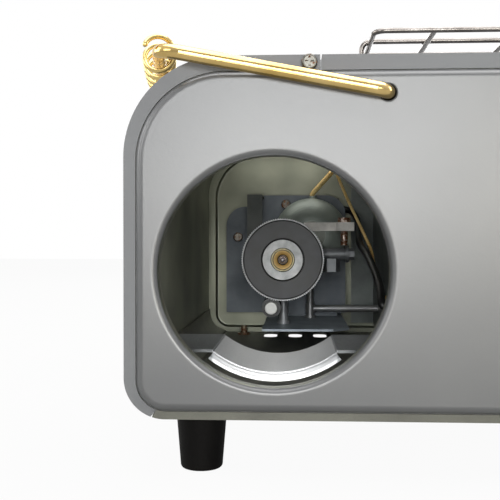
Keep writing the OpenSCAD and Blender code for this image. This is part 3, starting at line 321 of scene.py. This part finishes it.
# Floor tray and partition
# A folded tray of zinc-plated steel with foot holes and vents, and the upright sheet that
# stands on it and keeps the burner's heat from the canister.
cloud_grains, fine_grains, fine_relief = 4, 0.12, 0.00002


def plated(name, dark, light, low, high, metallic=1.0, grain=0.004, depth=fine_relief):
    """Plated or bare metal: cloudy tone, patchy gloss from low to high, fine relief the size of the grain."""
    material, tree, shader, where = new_finish(name, Metallic=metallic)
    cloud = patches(tree, where, grain * cloud_grains, detail=4)
    fine = patches(tree, where, grain * fine_grains, detail=2)
    tree.links.new(tones(tree, cloud, (0.3, dark), (0.7, light)), shader.inputs["Base Color"])
    tree.links.new(levels(tree, fine, low, high), shader.inputs["Roughness"])
    relief(tree, shader, fine, depth)
    return material


dress(plated("tray_zinc", "#55554f", "#67675f", 0.4, 0.6, 0.5), "bottom_plate")
dress(plated("partition_zinc", "#575d5c", "#717775", 0.35, 0.55, 0.4), "partition_wall")


# Screws and feet
# Pan-head steel screws hold the covers, and screws with hexagon nuts hold four tapered
# rubber feet to the tray. The plating has gone dull, and spots of rust sit in it.
rust_from, rust_full = 0.68, 0.76


def rusty(name, metal_dark, metal_light, amount):
    """Plated steel with rust where slow noise is high: there it is brown, rough and not metallic."""
    material, tree, shader, where = new_finish(name)
    cloud = patches(tree, where, 0.0012, detail=4)
    fine = patches(tree, where, 0.0003, detail=2)
    spots = levels(tree, cloud, 0, 1, rust_from - amount, rust_full - amount)
    metal = tones(tree, fine, (0.3, metal_dark), (0.7, metal_light))
    rust = tones(tree, fine, (0.3, "#4a2c1c"), (0.7, "#8a5a38"))
    tree.links.new(mixed(tree, spots, metal, rust), shader.inputs["Base Color"])
    tree.links.new(levels(tree, spots, 0.95, 0.1, 0, 1), shader.inputs["Metallic"])
    tree.links.new(levels(tree, spots, 0.32, 0.8, 0, 1), shader.inputs["Roughness"])
    relief(tree, shader, cloud, 0.00006)
    return material


dress(rusty("case_screw_steel", "#55544f", "#72706a", 0.12), "case_screws")
dress(rusty("foot_screw_steel", "#86796a", "#a8977f", 0.22), "foot_screws", "foot_nuts")
dust_size = 0.012


def moulded(name, dark, light, low, high, grain=0.0006, depth=0.00003, gloss=0.5):
    """Moulded rubber or plastic: even dark colour with dust in the grain and patchy gloss."""
    material, tree, shader, where = new_finish(name, Specular_IOR_Level=gloss)
    cloud = patches(tree, where, dust_size, detail=5)
    pores = patches(tree, where, grain, detail=2)
    tree.links.new(tones(tree, cloud, (0.3, dark), (0.72, light)), shader.inputs["Base Color"])
    tree.links.new(levels(tree, pores, low, high), shader.inputs["Roughness"])
    relief(tree, shader, pores, depth)
    return material


dress(moulded("foot_rubber", "#080707", "#0f0e0d", 0.5, 0.66, gloss=0.08), "rubber_feet")


# Guard
# Chromed wire: ribs bent over the top and down the front, resistance-welded
# to rails that run from end to end. Each weld leaves a small flattened nugget.
dress(plated("guard_chrome", "#6f6a66", "#8f8a86", 0.15, 0.3, 1.0, 0.002), "guard_grille")


def placed(points):
    """From millimetres about the middle of the case to the frame's metres."""
    return np.asarray(points) / 1000 + (middle[0], middle[1], 0)


def grid_faces(index):
    """Four-sided faces between the neighbours on a grid of point numbers."""
    return np.stack([index[..., :-1, :-1], index[..., :-1, 1:], index[..., 1:, 1:], index[..., 1:, :-1]],
                    axis=-1).reshape(-1, 4)


def new_piece(name, points, faces, material, body, slot, *replaced, crease=40):
    """A smooth-shaded piece with edges sharper than crease degrees kept, on its body."""
    mesh = bpy.data.meshes.new(name)
    mesh.from_pydata(points.reshape(-1, 3).tolist(), [], faces)
    mesh.shade_smooth()
    mesh.set_sharp_from_angle(angle=math.radians(crease))
    mesh.materials.append(material)
    piece = bpy.data.objects.new(name, mesh)
    bpy.context.scene.collection.objects.link(piece)
    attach(piece, body)
    if replaced:
        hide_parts(*replaced)


rib_places = -76.5 + 25.5 * np.arange(7)
rail_places = np.array([[-1.3, 159.6], [20.9, 159.6], [51.6, 159.6],
                        [110.1, 53.5], [110.1, 86.5], [110.1, 119.5]])
weld_wide, weld_flat = 1.3, 0.75
weld_size = np.array([[weld_wide, weld_wide, weld_flat]] * 3 + [[weld_flat, weld_wide, weld_wide]] * 3)
ball_rows, ball_columns = 5, 10


def unit_ball():
    """Rows of points round a ball of radius 1, each (cos b cos a, cos b sin a, sin b), and its two poles."""
    a = 2 * math.pi * np.arange(ball_columns) / ball_columns
    b = np.linspace(-math.pi / 2, math.pi / 2, ball_rows + 2)[1:-1, None]
    rows = np.broadcast_arrays(np.cos(b) * np.cos(a), np.cos(b) * np.sin(a), np.sin(b))
    return np.concatenate([np.stack(rows, axis=-1).reshape(-1, 3), [[0, 0, -1], [0, 0, 1]]])


def ball_faces(count):
    """The faces of count balls: four-sided ones between the rows and a fan of triangles at each pole."""
    low_pole = ball_rows * ball_columns
    index = np.arange(low_pole).reshape(ball_rows, ball_columns)
    index = np.concatenate([index, index[:, :1]], axis=1)
    low = np.stack([np.full(ball_columns, low_pole), index[0, 1:], index[0, :-1]], axis=-1)
    high = np.stack([np.full(ball_columns, low_pole + 1), index[-1, :-1], index[-1, 1:]], axis=-1)
    first = (low_pole + 2) * np.arange(count)[:, None, None]
    parts = [(first + part).reshape(-1, part.shape[-1]).tolist() for part in (grid_faces(index), low, high)]
    return parts[0] + parts[1] + parts[2]


def nuggets():
    """A flattened ball wherever an inner rib at y crosses a rail at x and z, as one array of points."""
    place = np.stack(np.broadcast_arrays(
        rail_places[:, None, 0], rib_places[None, :], rail_places[:, None, 1]), axis=-1)
    return place[:, :, None] + weld_size[:, None, None] * unit_ball()


new_piece("guard_welds", placed(nuggets()), ball_faces(len(rail_places) * len(rib_places)),
          plated("weld_chrome", "#5d5852", "#7d7872", 0.25, 0.45, 1.0, 0.001), "case", "chrome_wire")


# Carrying handle
# One bent wire with brass-coloured plating, hooked into black bushes. A spring of
# the same finish hangs loosely on its grip, so that the hand doesn't meet thin wire.
dress(plated("bail_brass", "#c6a764", "#dcc084", 0.05, 0.12, 1.0, 0.003), "handle_bail")
dress(plated("push_nut_zinc", "#8a8a88", "#a7a7a4", 0.3, 0.45), "push_nuts")
dress(moulded("bush_plastic", "#191a1b", "#242526", 0.35, 0.5), "bail_bushes")


def unit(vectors):
    """Each vector at length 1."""
    return vectors / np.linalg.norm(vectors, axis=-1, keepdims=True)


end_bluntness = 0.1


def wire(path, out, radius, sides):
    """Rings round a path: point + radius (cos a up + sin a side), up square to the path and nearest out.
    The radius shrinks over the last stretch at each end, which rounds the end off."""
    along = unit(np.gradient(path, axis=0))
    up = unit(out - along * np.sum(out * along, axis=-1, keepdims=True))
    side = np.cross(along, up)
    turn = 2 * math.pi * np.arange(sides)[None, :, None] / sides
    travel = np.concatenate([[0], np.cumsum(np.linalg.norm(np.diff(path, axis=0), axis=1))])
    end = np.minimum(np.minimum(travel, travel[-1] - travel) / np.max(radius), 1)
    round_off = radius * np.sqrt(np.maximum(1 - (1 - end) ** 2, end_bluntness))
    spoke = np.cos(turn) * up[:, None] + np.sin(turn) * side[:, None]
    return path[:, None] + round_off[:, None, None] * spoke


def wire_faces(count, sides):
    """Faces over the rings, which close round the wire, with one flat face on each end."""
    index = np.arange(count * sides).reshape(count, sides)
    body = grid_faces(np.concatenate([index, index[:, :1]], axis=1))
    return body.tolist() + [index[0, ::-1].tolist(), index[-1].tolist()]


grip_curls, grip_rings, grip_sides = 23, 48, 12
grip_half, grip_mean, grip_wire, grip_hang, grip_climb = 137.3, 5.15, 0.9, 1.6, 2.0
bow_radius, bow_middle = 801.49, -711.99
pivot_height, fold = 129.7, math.radians(10.8477)


def grip_coil():
    """Each curl is a circle of grip_mean round the grip, a wide arc; the whole is tipped by the fold.
    The spring hangs on the wire and climbs where its ends meet the bends."""
    share = np.linspace(-1, 1, grip_curls * grip_rings + 1)
    sweep = math.asin(grip_half / bow_radius) * share
    turn = math.pi * grip_curls * (share + 1)
    tip = np.array([[-math.cos(fold), 0, math.sin(fold)], [0, 1, 0], [math.sin(fold), 0, math.cos(fold)]])
    out = np.stack([np.cos(turn) * np.cos(sweep), np.cos(turn) * np.sin(sweep), np.sin(turn)], axis=-1) @ tip
    centre = np.stack([bow_middle + bow_radius * np.cos(sweep), bow_radius * np.sin(sweep), 0 * sweep],
                      axis=-1)
    drop = grip_hang - grip_climb * share ** 4
    path = centre @ tip + grip_mean * out + (0, 0, pivot_height) - drop[:, None] * np.array([0, 0, 1])
    return wire(path, out, grip_wire, grip_sides)


coil_rings = grip_coil()
new_piece("grip_spring", placed(coil_rings), wire_faces(*coil_rings.shape[:2]),
          plated("coil_brass", "#cdb06c", "#e3ca8c", 0.1, 0.2, 1.0, 0.002),
          "handle", "gold_wire", "handle_coil", crease=70)


# Canister cradle
# A trough of stainless sheet that carries the canister along its length, with a rolled
# front lip and two wings on legs that stand on the tray. Its colour holds painted light:
# the trough's middle is painted lighter as a painted highlight, and the wings darker as painted shade.
port_axis = placed((-38, 39, 70.2))
wing_reach, brushed_way = 0.03, (1, 6, 1)


def axis_distance(tree, where, across):
    """How far a point is from the port's axis, in metres, along the axes that across keeps."""
    flat = tree.nodes.new("ShaderNodeVectorMath")
    flat.operation = "MULTIPLY_ADD"
    flat.inputs[1].default_value = across
    flat.inputs[2].default_value = -port_axis * np.array(across)
    length = tree.nodes.new("ShaderNodeVectorMath")
    length.operation = "LENGTH"
    tree.links.new(where, flat.inputs[0])
    tree.links.new(flat.outputs["Vector"], length.inputs[0])
    return length.outputs["Value"]


def trough_with_painted_light():
    """Brushed stainless sheet with a painted highlight along the trough's middle and painted shade past its
    edges.
    """
    material, tree, shader, where = new_finish("cradle_stainless", Metallic=0.65)
    aside = levels(tree, axis_distance(tree, where, (1, 0, 0)), 0, 1, 0, wing_reach)
    cloud = patches(tree, where, 0.012, brushed_way, detail=4)
    brushed = patches(tree, where, 0.0004, brushed_way, detail=2)
    # painted light: a painted highlight along the trough's middle, painted shade on the wings
    painted_light_bands = tones(tree, aside, (0, "#e4e5e6"), (0.5, "#cccecf"), (0.72, "#b3b5b7"),
                 (0.745, "#55585a"), (1, "#66696b"))
    film = tones(tree, cloud, (0.3, "#77797b"), (0.7, "#a9abad"))
    tree.links.new(mixed(tree, levels(tree, cloud, 0, 0.25), painted_light_bands, film), shader.inputs["Base Color"])
    tree.links.new(levels(tree, brushed, 0.3, 0.42), shader.inputs["Roughness"])
    relief(tree, shader, brushed, fine_relief)
    return material


dress(trough_with_painted_light(), "canister_cradle")


# Collar and magnet
# A turned steel collar with a knurled rim holds a cast ring magnet, which pulls the
# canister's collar home. The brass seat in its middle seals on the canister, and the
# alloy pin in the seat opens the canister's valve.
groove_scale = 5200


def turned(name, reach, low, high, metallic, *stops):
    """Lathe-turned metal: fine rings round the port's axis, coloured by the distance from it as a
    share of reach metres, with slow dull patches."""
    material, tree, shader, where = new_finish(name, Metallic=metallic)
    radius = axis_distance(tree, where, (1, 0, 1))
    groove = tree.nodes.new("ShaderNodeTexNoise")
    groove.noise_dimensions = "1D"
    groove.inputs["Scale"].default_value = groove_scale
    tree.links.new(radius, groove.inputs["W"])
    cloud = patches(tree, where, 0.006, detail=4)
    grime = tones(tree, cloud, (0.3, "#1d1c1a"), (0.7, "#38352f"))
    bands = tones(tree, levels(tree, radius, 0, 1, 0, reach), *stops)
    tree.links.new(mixed(tree, levels(tree, cloud, 0, 0.3), bands, grime), shader.inputs["Base Color"])
    tree.links.new(levels(tree, groove.outputs["Fac"], low, high), shader.inputs["Roughness"])
    relief(tree, shader, groove.outputs["Fac"], fine_relief)
    return material


def lathe(radius, depth, columns):
    """A profile of radius r and depth turned about the port's axis: (r cos a, depth, -r sin a) at angle a."""
    turn = 2 * math.pi * np.arange(columns) / columns
    ring = np.broadcast_arrays(radius * np.cos(turn), depth, -radius * np.sin(turn))
    return port_axis + np.stack(ring, axis=-1) / 1000


def broken_edges(profile, size):
    """Each corner of a closed profile cut back by size along both of its sides."""
    before, after = (unit(np.roll(profile, step, axis=0) - profile) for step in (1, -1))
    return np.stack([profile + size * before, profile + size * after], axis=1).reshape(-1, 2)


def ring_faces(count, columns):
    """Faces over a profile that closes on itself, turned all the way round."""
    index = np.arange(count * columns).reshape(count, columns)
    index = np.concatenate([index, index[:1]])
    return grid_faces(np.concatenate([index, index[:, :1]], axis=1)).tolist()


collar_profile = np.array([
    [6.6, 0.6], [10.95, 0.6], [10.95, 2.2], [11.7, 2.2], [11.7, 0.6], [21.1, 0.6], [21.1, 1.3],
    [21.5, 1.3], [21.5, 0], [22.5, 0], [22.5, 2.9], [21.9, 3.5], [6.6, 3.5]])
knurl_teeth, knurl_depth, knurl_from, collar_columns = 110, 0.5, 22.2, 880
collar_chamfer = 0.12


def collar():
    """The collar's profile turned round, its rim drawn in by knurl_depth (1 + cos n a) / 2 for n teeth."""
    profile = broken_edges(collar_profile, collar_chamfer)
    turn = 2 * math.pi * np.arange(collar_columns) / collar_columns
    tooth = knurl_depth * (0.5 + 0.5 * np.cos(knurl_teeth * turn))
    return lathe(profile[:, :1] - tooth * (profile[:, :1] > knurl_from), profile[:, 1:], collar_columns)


collar_points = collar()
# The near-black bands are painted shade: one in the groove round the magnet, one in the step between the face
# and the rim.
new_piece("knurled_collar", collar_points, ring_faces(*collar_points.shape[:2]),
          turned("collar_steel", 0.0225, 0.42, 0.6, 0.4, (0.47, "#060606"), (0.515, "#060606"),
                 (0.525, "#474849"), (0.92, "#4b4c4e"), (0.94, "#0e0e0e"), (0.95, "#0e0e0e"),
                 (0.96, "#b4b6b8"), (1, "#d2d4d6")),
          "case", "plain_steel", "collar_disc")
dress(plated("magnet_cast", "#9b9d9e", "#c8c9c9", 0.35, 0.6, 0.7, 0.0012, depth=0.0001), "ring_magnet")

seat_profile = np.array([
    [2.6, 1.6], [2.6, 0.4], [3.2, -0.2], [5.05, -0.7], [5.05, 0.5], [5.4, 0.5], [5.4, -0.9], [5.6, -1.3],
    [5.85, -1.4], [6.1, -1.25], [6.25, -0.8], [6.25, 2.4], [6.48, 2.4], [6.48, 3.4], [2.6, 3.4]])
seat_columns, pin_columns = 96, 40
seat_points = lathe(seat_profile[:, :1], seat_profile[:, 1:], seat_columns)
# The dark bands are painted shade: in the bore round the pin, in the groove inside the bead, and on the outer
# edge next to the magnet.
new_piece("turned_seat", seat_points, ring_faces(*seat_points.shape[:2]),
          turned("seat_brass", 0.0065, 0.3, 0.45, 0.2, (0.38, "#2a1d10"), (0.43, "#2a1d10"),
                 (0.46, "#dcae60"), (0.77, "#f6d189"), (0.785, "#120e08"), (0.83, "#120e08"),
                 (0.84, "#ecdcab"), (0.955, "#f2e6c0"), (0.965, "#18140d")),
          "case", "brass", "seat_ring", crease=60)
pin_profile = np.array([
    [0.2, -2.55], [0.9, -2.4], [1.3, -2.05], [1.5, -1.5], [1.5, 1.6], [2.35, 1.6], [2.35, 3.4], [0.2, 3.4]])
pin_points = lathe(pin_profile[:, :1], pin_profile[:, 1:], pin_columns)
# The flange past the shaft is painted dark brown: painted shade at the bottom of the seat's bore.
new_piece("turned_pin", pin_points, wire_faces(*pin_points.shape[:2]),
          turned("pin_alloy", 0.0024, 0.2, 0.4, 0.7, (0.3, "#c4bcc0"), (0.6, "#a79ea1"), (0.68, "#2a1d10")),
          "case", "pin_alloy", "nozzle_pin", crease=60)


# Valve
# A zinc pressure regulator with a pressed diaphragm dome stands on a black steel plate,
# which is screwed on behind it. Lever, outlet and gas pipe are screwed to it, and a shelf
# and a post carry it. The probe's copper lead and the igniter's black one pass beside it.
dress(plated("valve_zinc", "#7b7f78", "#979b93", 0.4, 0.6, 0.5, 0.002, depth=0.0001), "regulator_body")
dress(plated("dome_passivate", "#868f89", "#9ea69f", 0.35, 0.55, 0.3), "diaphragm_dome")
dress(plated("lever_cast", "#c7c4c0", "#e4e1dc", 0.4, 0.65, 0.5, 0.0012, depth=0.00012), "lever_arm")
dress(rusty("lever_screw_steel", "#8d8078", "#aea197", 0.26), "lever_screw")
dress(plated("outlet_steel", "#6d7073", "#909396", 0.4, 0.55, 0.5), "outlet_fitting")
dress(plated("mount_plate_black", "#4b5056", "#63696f", 0.35, 0.55, 0.5), "valve_mount_plate")
dress(plated("spacer_zinc", "#7f807d", "#9a9b98", 0.3, 0.5), "plate_spacers")
dress(rusty("plate_screw_steel", "#4f4b46", "#726d66", 0.16), "plate_screws")
dress(plated("strap_steel", "#3d403f", "#525553", 0.4, 0.6, 0.5), "support_strap")
dress(plated("shelf_steel", "#8d97a0", "#a9b3bb", 0.35, 0.55, 0.4), "shelf_bracket")
dress(plated("post_steel", "#7d7f82", "#a0a2a4", 0.35, 0.5, 0.6), "shelf_post")
dress(moulded("socket_plastic", "#1b1c1d", "#28292a", 0.35, 0.5), "release_socket")
dress(moulded("release_nylon", "#dcdcd8", "#efefec", 0.3, 0.5), "release_pin")
dress(plated("pipe_steel", "#87888a", "#a9aaab", 0.3, 0.45, 0.6), "gas_pipe")


def smooth_path(points, steps):
    """A curve through the points: between b and c, with a before and d after them and t from 0 to 1,
    it is half of 2b + (c - a) t + (2a - 5b + 4c - d) t^2 + (3b - a - 3c + d) t^3."""
    points = np.array(points)
    more = np.concatenate([points[:1], points, points[-1:]])
    a, b, c, d = (more[i:len(more) - 3 + i, None] for i in range(4))
    t = np.linspace(0, 1, steps, endpoint=False)[None, :, None]
    curve = 0.5 * (2 * b + (c - a) * t + (2 * a - 5 * b + 4 * c - d) * t ** 2
                   + (3 * b - a - 3 * c + d) * t ** 3)
    return np.concatenate([curve.reshape(-1, 3), points[-1:]])


lead_steps = 14


def lead(name, points, radius, sleeve, sleeve_end, sides, material, slot, replaced):
    """A round lead along the smooth path through the points, sleeved up to point number sleeve_end."""
    path = smooth_path(points, lead_steps)
    thick = np.where(np.arange(len(path)) <= lead_steps * sleeve_end, sleeve, radius)
    rings = wire(path, np.broadcast_to([1.0, 1.0, 1.0], path.shape), thick, sides)
    new_piece(name, placed(rings), wire_faces(*rings.shape[:2]), material, "case", slot, replaced, crease=70)


lead("thermocouple_wire", [
    (-20.9, 90.2, 107.1), (-20.4, 89.9, 109.4), (-10.2, 80, 120.4), (-8.4, 76, 123.6), (-6.8, 72, 117.4),
    (-1.3, 68, 103.6), (5.3, 65, 89.1), (11.1, 62, 75.8), (12.1, 58, 70), (12.8, 52, 63.8), (14, 44, 57.8),
    (14.6, 34, 52), (19.5, 19, 49.5), (25, 14.5, 46), (30, 12.5, 40), (43, 12, 32), (61, 12, 26),
    (68, 12, 28.5), (69, 12, 32)],
    radius=0.9, sleeve=1.5, sleeve_end=2, sides=14,
    material=plated("thermocouple_copper", "#eec275", "#fbdf9f", 0.22, 0.35, 0.2),
    slot="copper_lead", replaced="thermocouple_lead")
lead("ignition_wire", [
    (-4, 128, 101.2), (4, 124, 99), (7, 110, 93), (6.5, 92, 87.5), (4.9, 62, 79.2), (7.5, 46, 73.4),
    (9.6, 30, 66.6), (10.9, 15, 60.3), (11.2, 2, 54.3), (11.6, -5.5, 48.8), (19.5, -10, 42), (32, -11.5, 34),
    (51, -12, 29), (61, -12, 26), (68, -12, 28.5), (69, -12, 32)],
    radius=1.6, sleeve=2.0, sleeve_end=9, sides=16,
    material=moulded("ignition_sleeve", "#0c0c0d", "#161617", 0.3, 0.5),
    slot="rubber", replaced="ignition_lead")


# Burner room
# The jet blows gas into a sheet-steel venturi, which feeds the box behind the ceramic
# plaque. The plaque is pressed full of flame holes and held by a stainless frame, with
# a bright reflector round it and the spark electrode and the probe in front of it.
dress(plated("burner_steel", "#7e8081", "#979999", 0.35, 0.55), "burner_box")
plaque_low, plaque_high = np.array([46, -66, 54.0]), np.array([58, 66, 98.0])
plaque_pitch, flame_hole, flame_depth = 2.2, 0.68, 5.0


def perforated_plaque():
    """A block whose front is square cells, each with an eight-sided hole sunk into it. The cells' corners,
    the middles of their sides and their centres lie on one lattice of half the pitch."""
    across = int(round((plaque_high[1] - plaque_low[1]) / plaque_pitch))
    up = int(round((plaque_high[2] - plaque_low[2]) / plaque_pitch))
    wide, high = 2 * across + 1, 2 * up + 1
    y, z = np.meshgrid(np.linspace(plaque_low[1], plaque_high[1], wide),
                       np.linspace(plaque_low[2], plaque_high[2], high), indexing="ij")
    number = np.arange(wide * high).reshape(wide, high)
    front = np.stack([np.full(y.shape, plaque_high[0]), y, z], axis=-1).reshape(-1, 3)
    round_y, round_z = np.array([1, 1, 0, -1, -1, -1, 0, 1]), np.array([0, 1, 1, 1, 0, -1, -1, -1])
    cell_y, cell_z = np.meshgrid(2 * np.arange(across) + 1, 2 * np.arange(up) + 1, indexing="ij")
    i, j = cell_y.reshape(-1, 1), cell_z.reshape(-1, 1)
    edge = number[i + round_y, j + round_z]
    centre = front[number[i, j][:, 0]]
    spoke = unit(np.stack([0.0 * round_y, round_y, round_z], axis=-1)) * flame_hole
    mouth = centre[:, None] + spoke
    base = mouth - (flame_depth, 0, 0)
    count = mouth.shape[0] * mouth.shape[1]
    mouth_number = len(front) + np.arange(count).reshape(mouth.shape[:2])
    base_number = mouth_number + count
    ring = [np.concatenate([n, n[:, :1]], axis=1) for n in (edge, mouth_number, base_number)]
    cells = grid_faces(np.stack(ring, axis=1))
    border = np.concatenate([number[:-1, 0], number[-1, :-1], number[:0:-1, -1], number[0, :0:-1]])
    back = front[border] - (plaque_high[0] - plaque_low[0], 0, 0)
    back_number = len(front) + 2 * count + np.arange(len(border))
    walls = np.stack([border, back_number, np.roll(back_number, -1), np.roll(border, -1)], axis=-1)
    points = np.concatenate([front, mouth.reshape(-1, 3), base.reshape(-1, 3), back])
    faces = cells.tolist() + base_number.tolist() + walls.tolist() + [back_number[::-1].tolist()]
    kept = np.setdiff1d(np.arange(len(points)), number[1::2, 1::2])
    renumber = np.zeros(len(points), int)
    renumber[kept] = np.arange(len(kept))
    return points[kept], [renumber[face].tolist() for face in faces]


plaque_points, plaque_faces = perforated_plaque()
new_piece("perforated_plaque", placed(plaque_points), plaque_faces,
          moulded("plaque_ceramic", "#ddd2c0", "#ece2d2", 0.8, 0.95),
          "case", "plaque_ceramic", "ceramic_plaque")
dress(plated("frame_stainless", "#b3b6b7", "#c9cbcc", 0.2, 0.35), "plaque_frame")
dress(plated("reflector_stainless", "#c3c5c6", "#d8d9da", 0.1, 0.22), "reflector")
dress(plated("jet_brass", "#a9834a", "#c7a062", 0.2, 0.35), "gas_jet")
dress(plated("venturi_zinc", "#8b8e8f", "#a6a9aa", 0.3, 0.5), "venturi_tube")
dress(plated("bracket_zinc", "#838586", "#9c9e9f", 0.3, 0.5), "sensor_bracket")
dress(moulded("electrode_ceramic", "#e0ded8", "#f0eee9", 0.2, 0.35), "ignition_electrode")
dress(plated("probe_copper", "#a37744", "#c29256", 0.25, 0.4), "thermocouple_probe")


# Control end
# The black moulded knob turns a brass spindle in a bush on the far panel. The spindle
# works the valve and trips the piezo igniter, which is clipped on behind the panel.
dress(moulded("igniter_plastic", "#202224", "#2c2e30", 0.35, 0.5), "igniter_unit")
dress(plated("bush_brass", "#a9834a", "#c7a062", 0.25, 0.4), "spindle_bush")
dress(plated("spindle_brass", "#b9a87e", "#cdbd94", 0.2, 0.35), "valve_spindle")
dress(moulded("knob_plastic", "#1c1d1f", "#27292b", 0.32, 0.46), "control_knob")
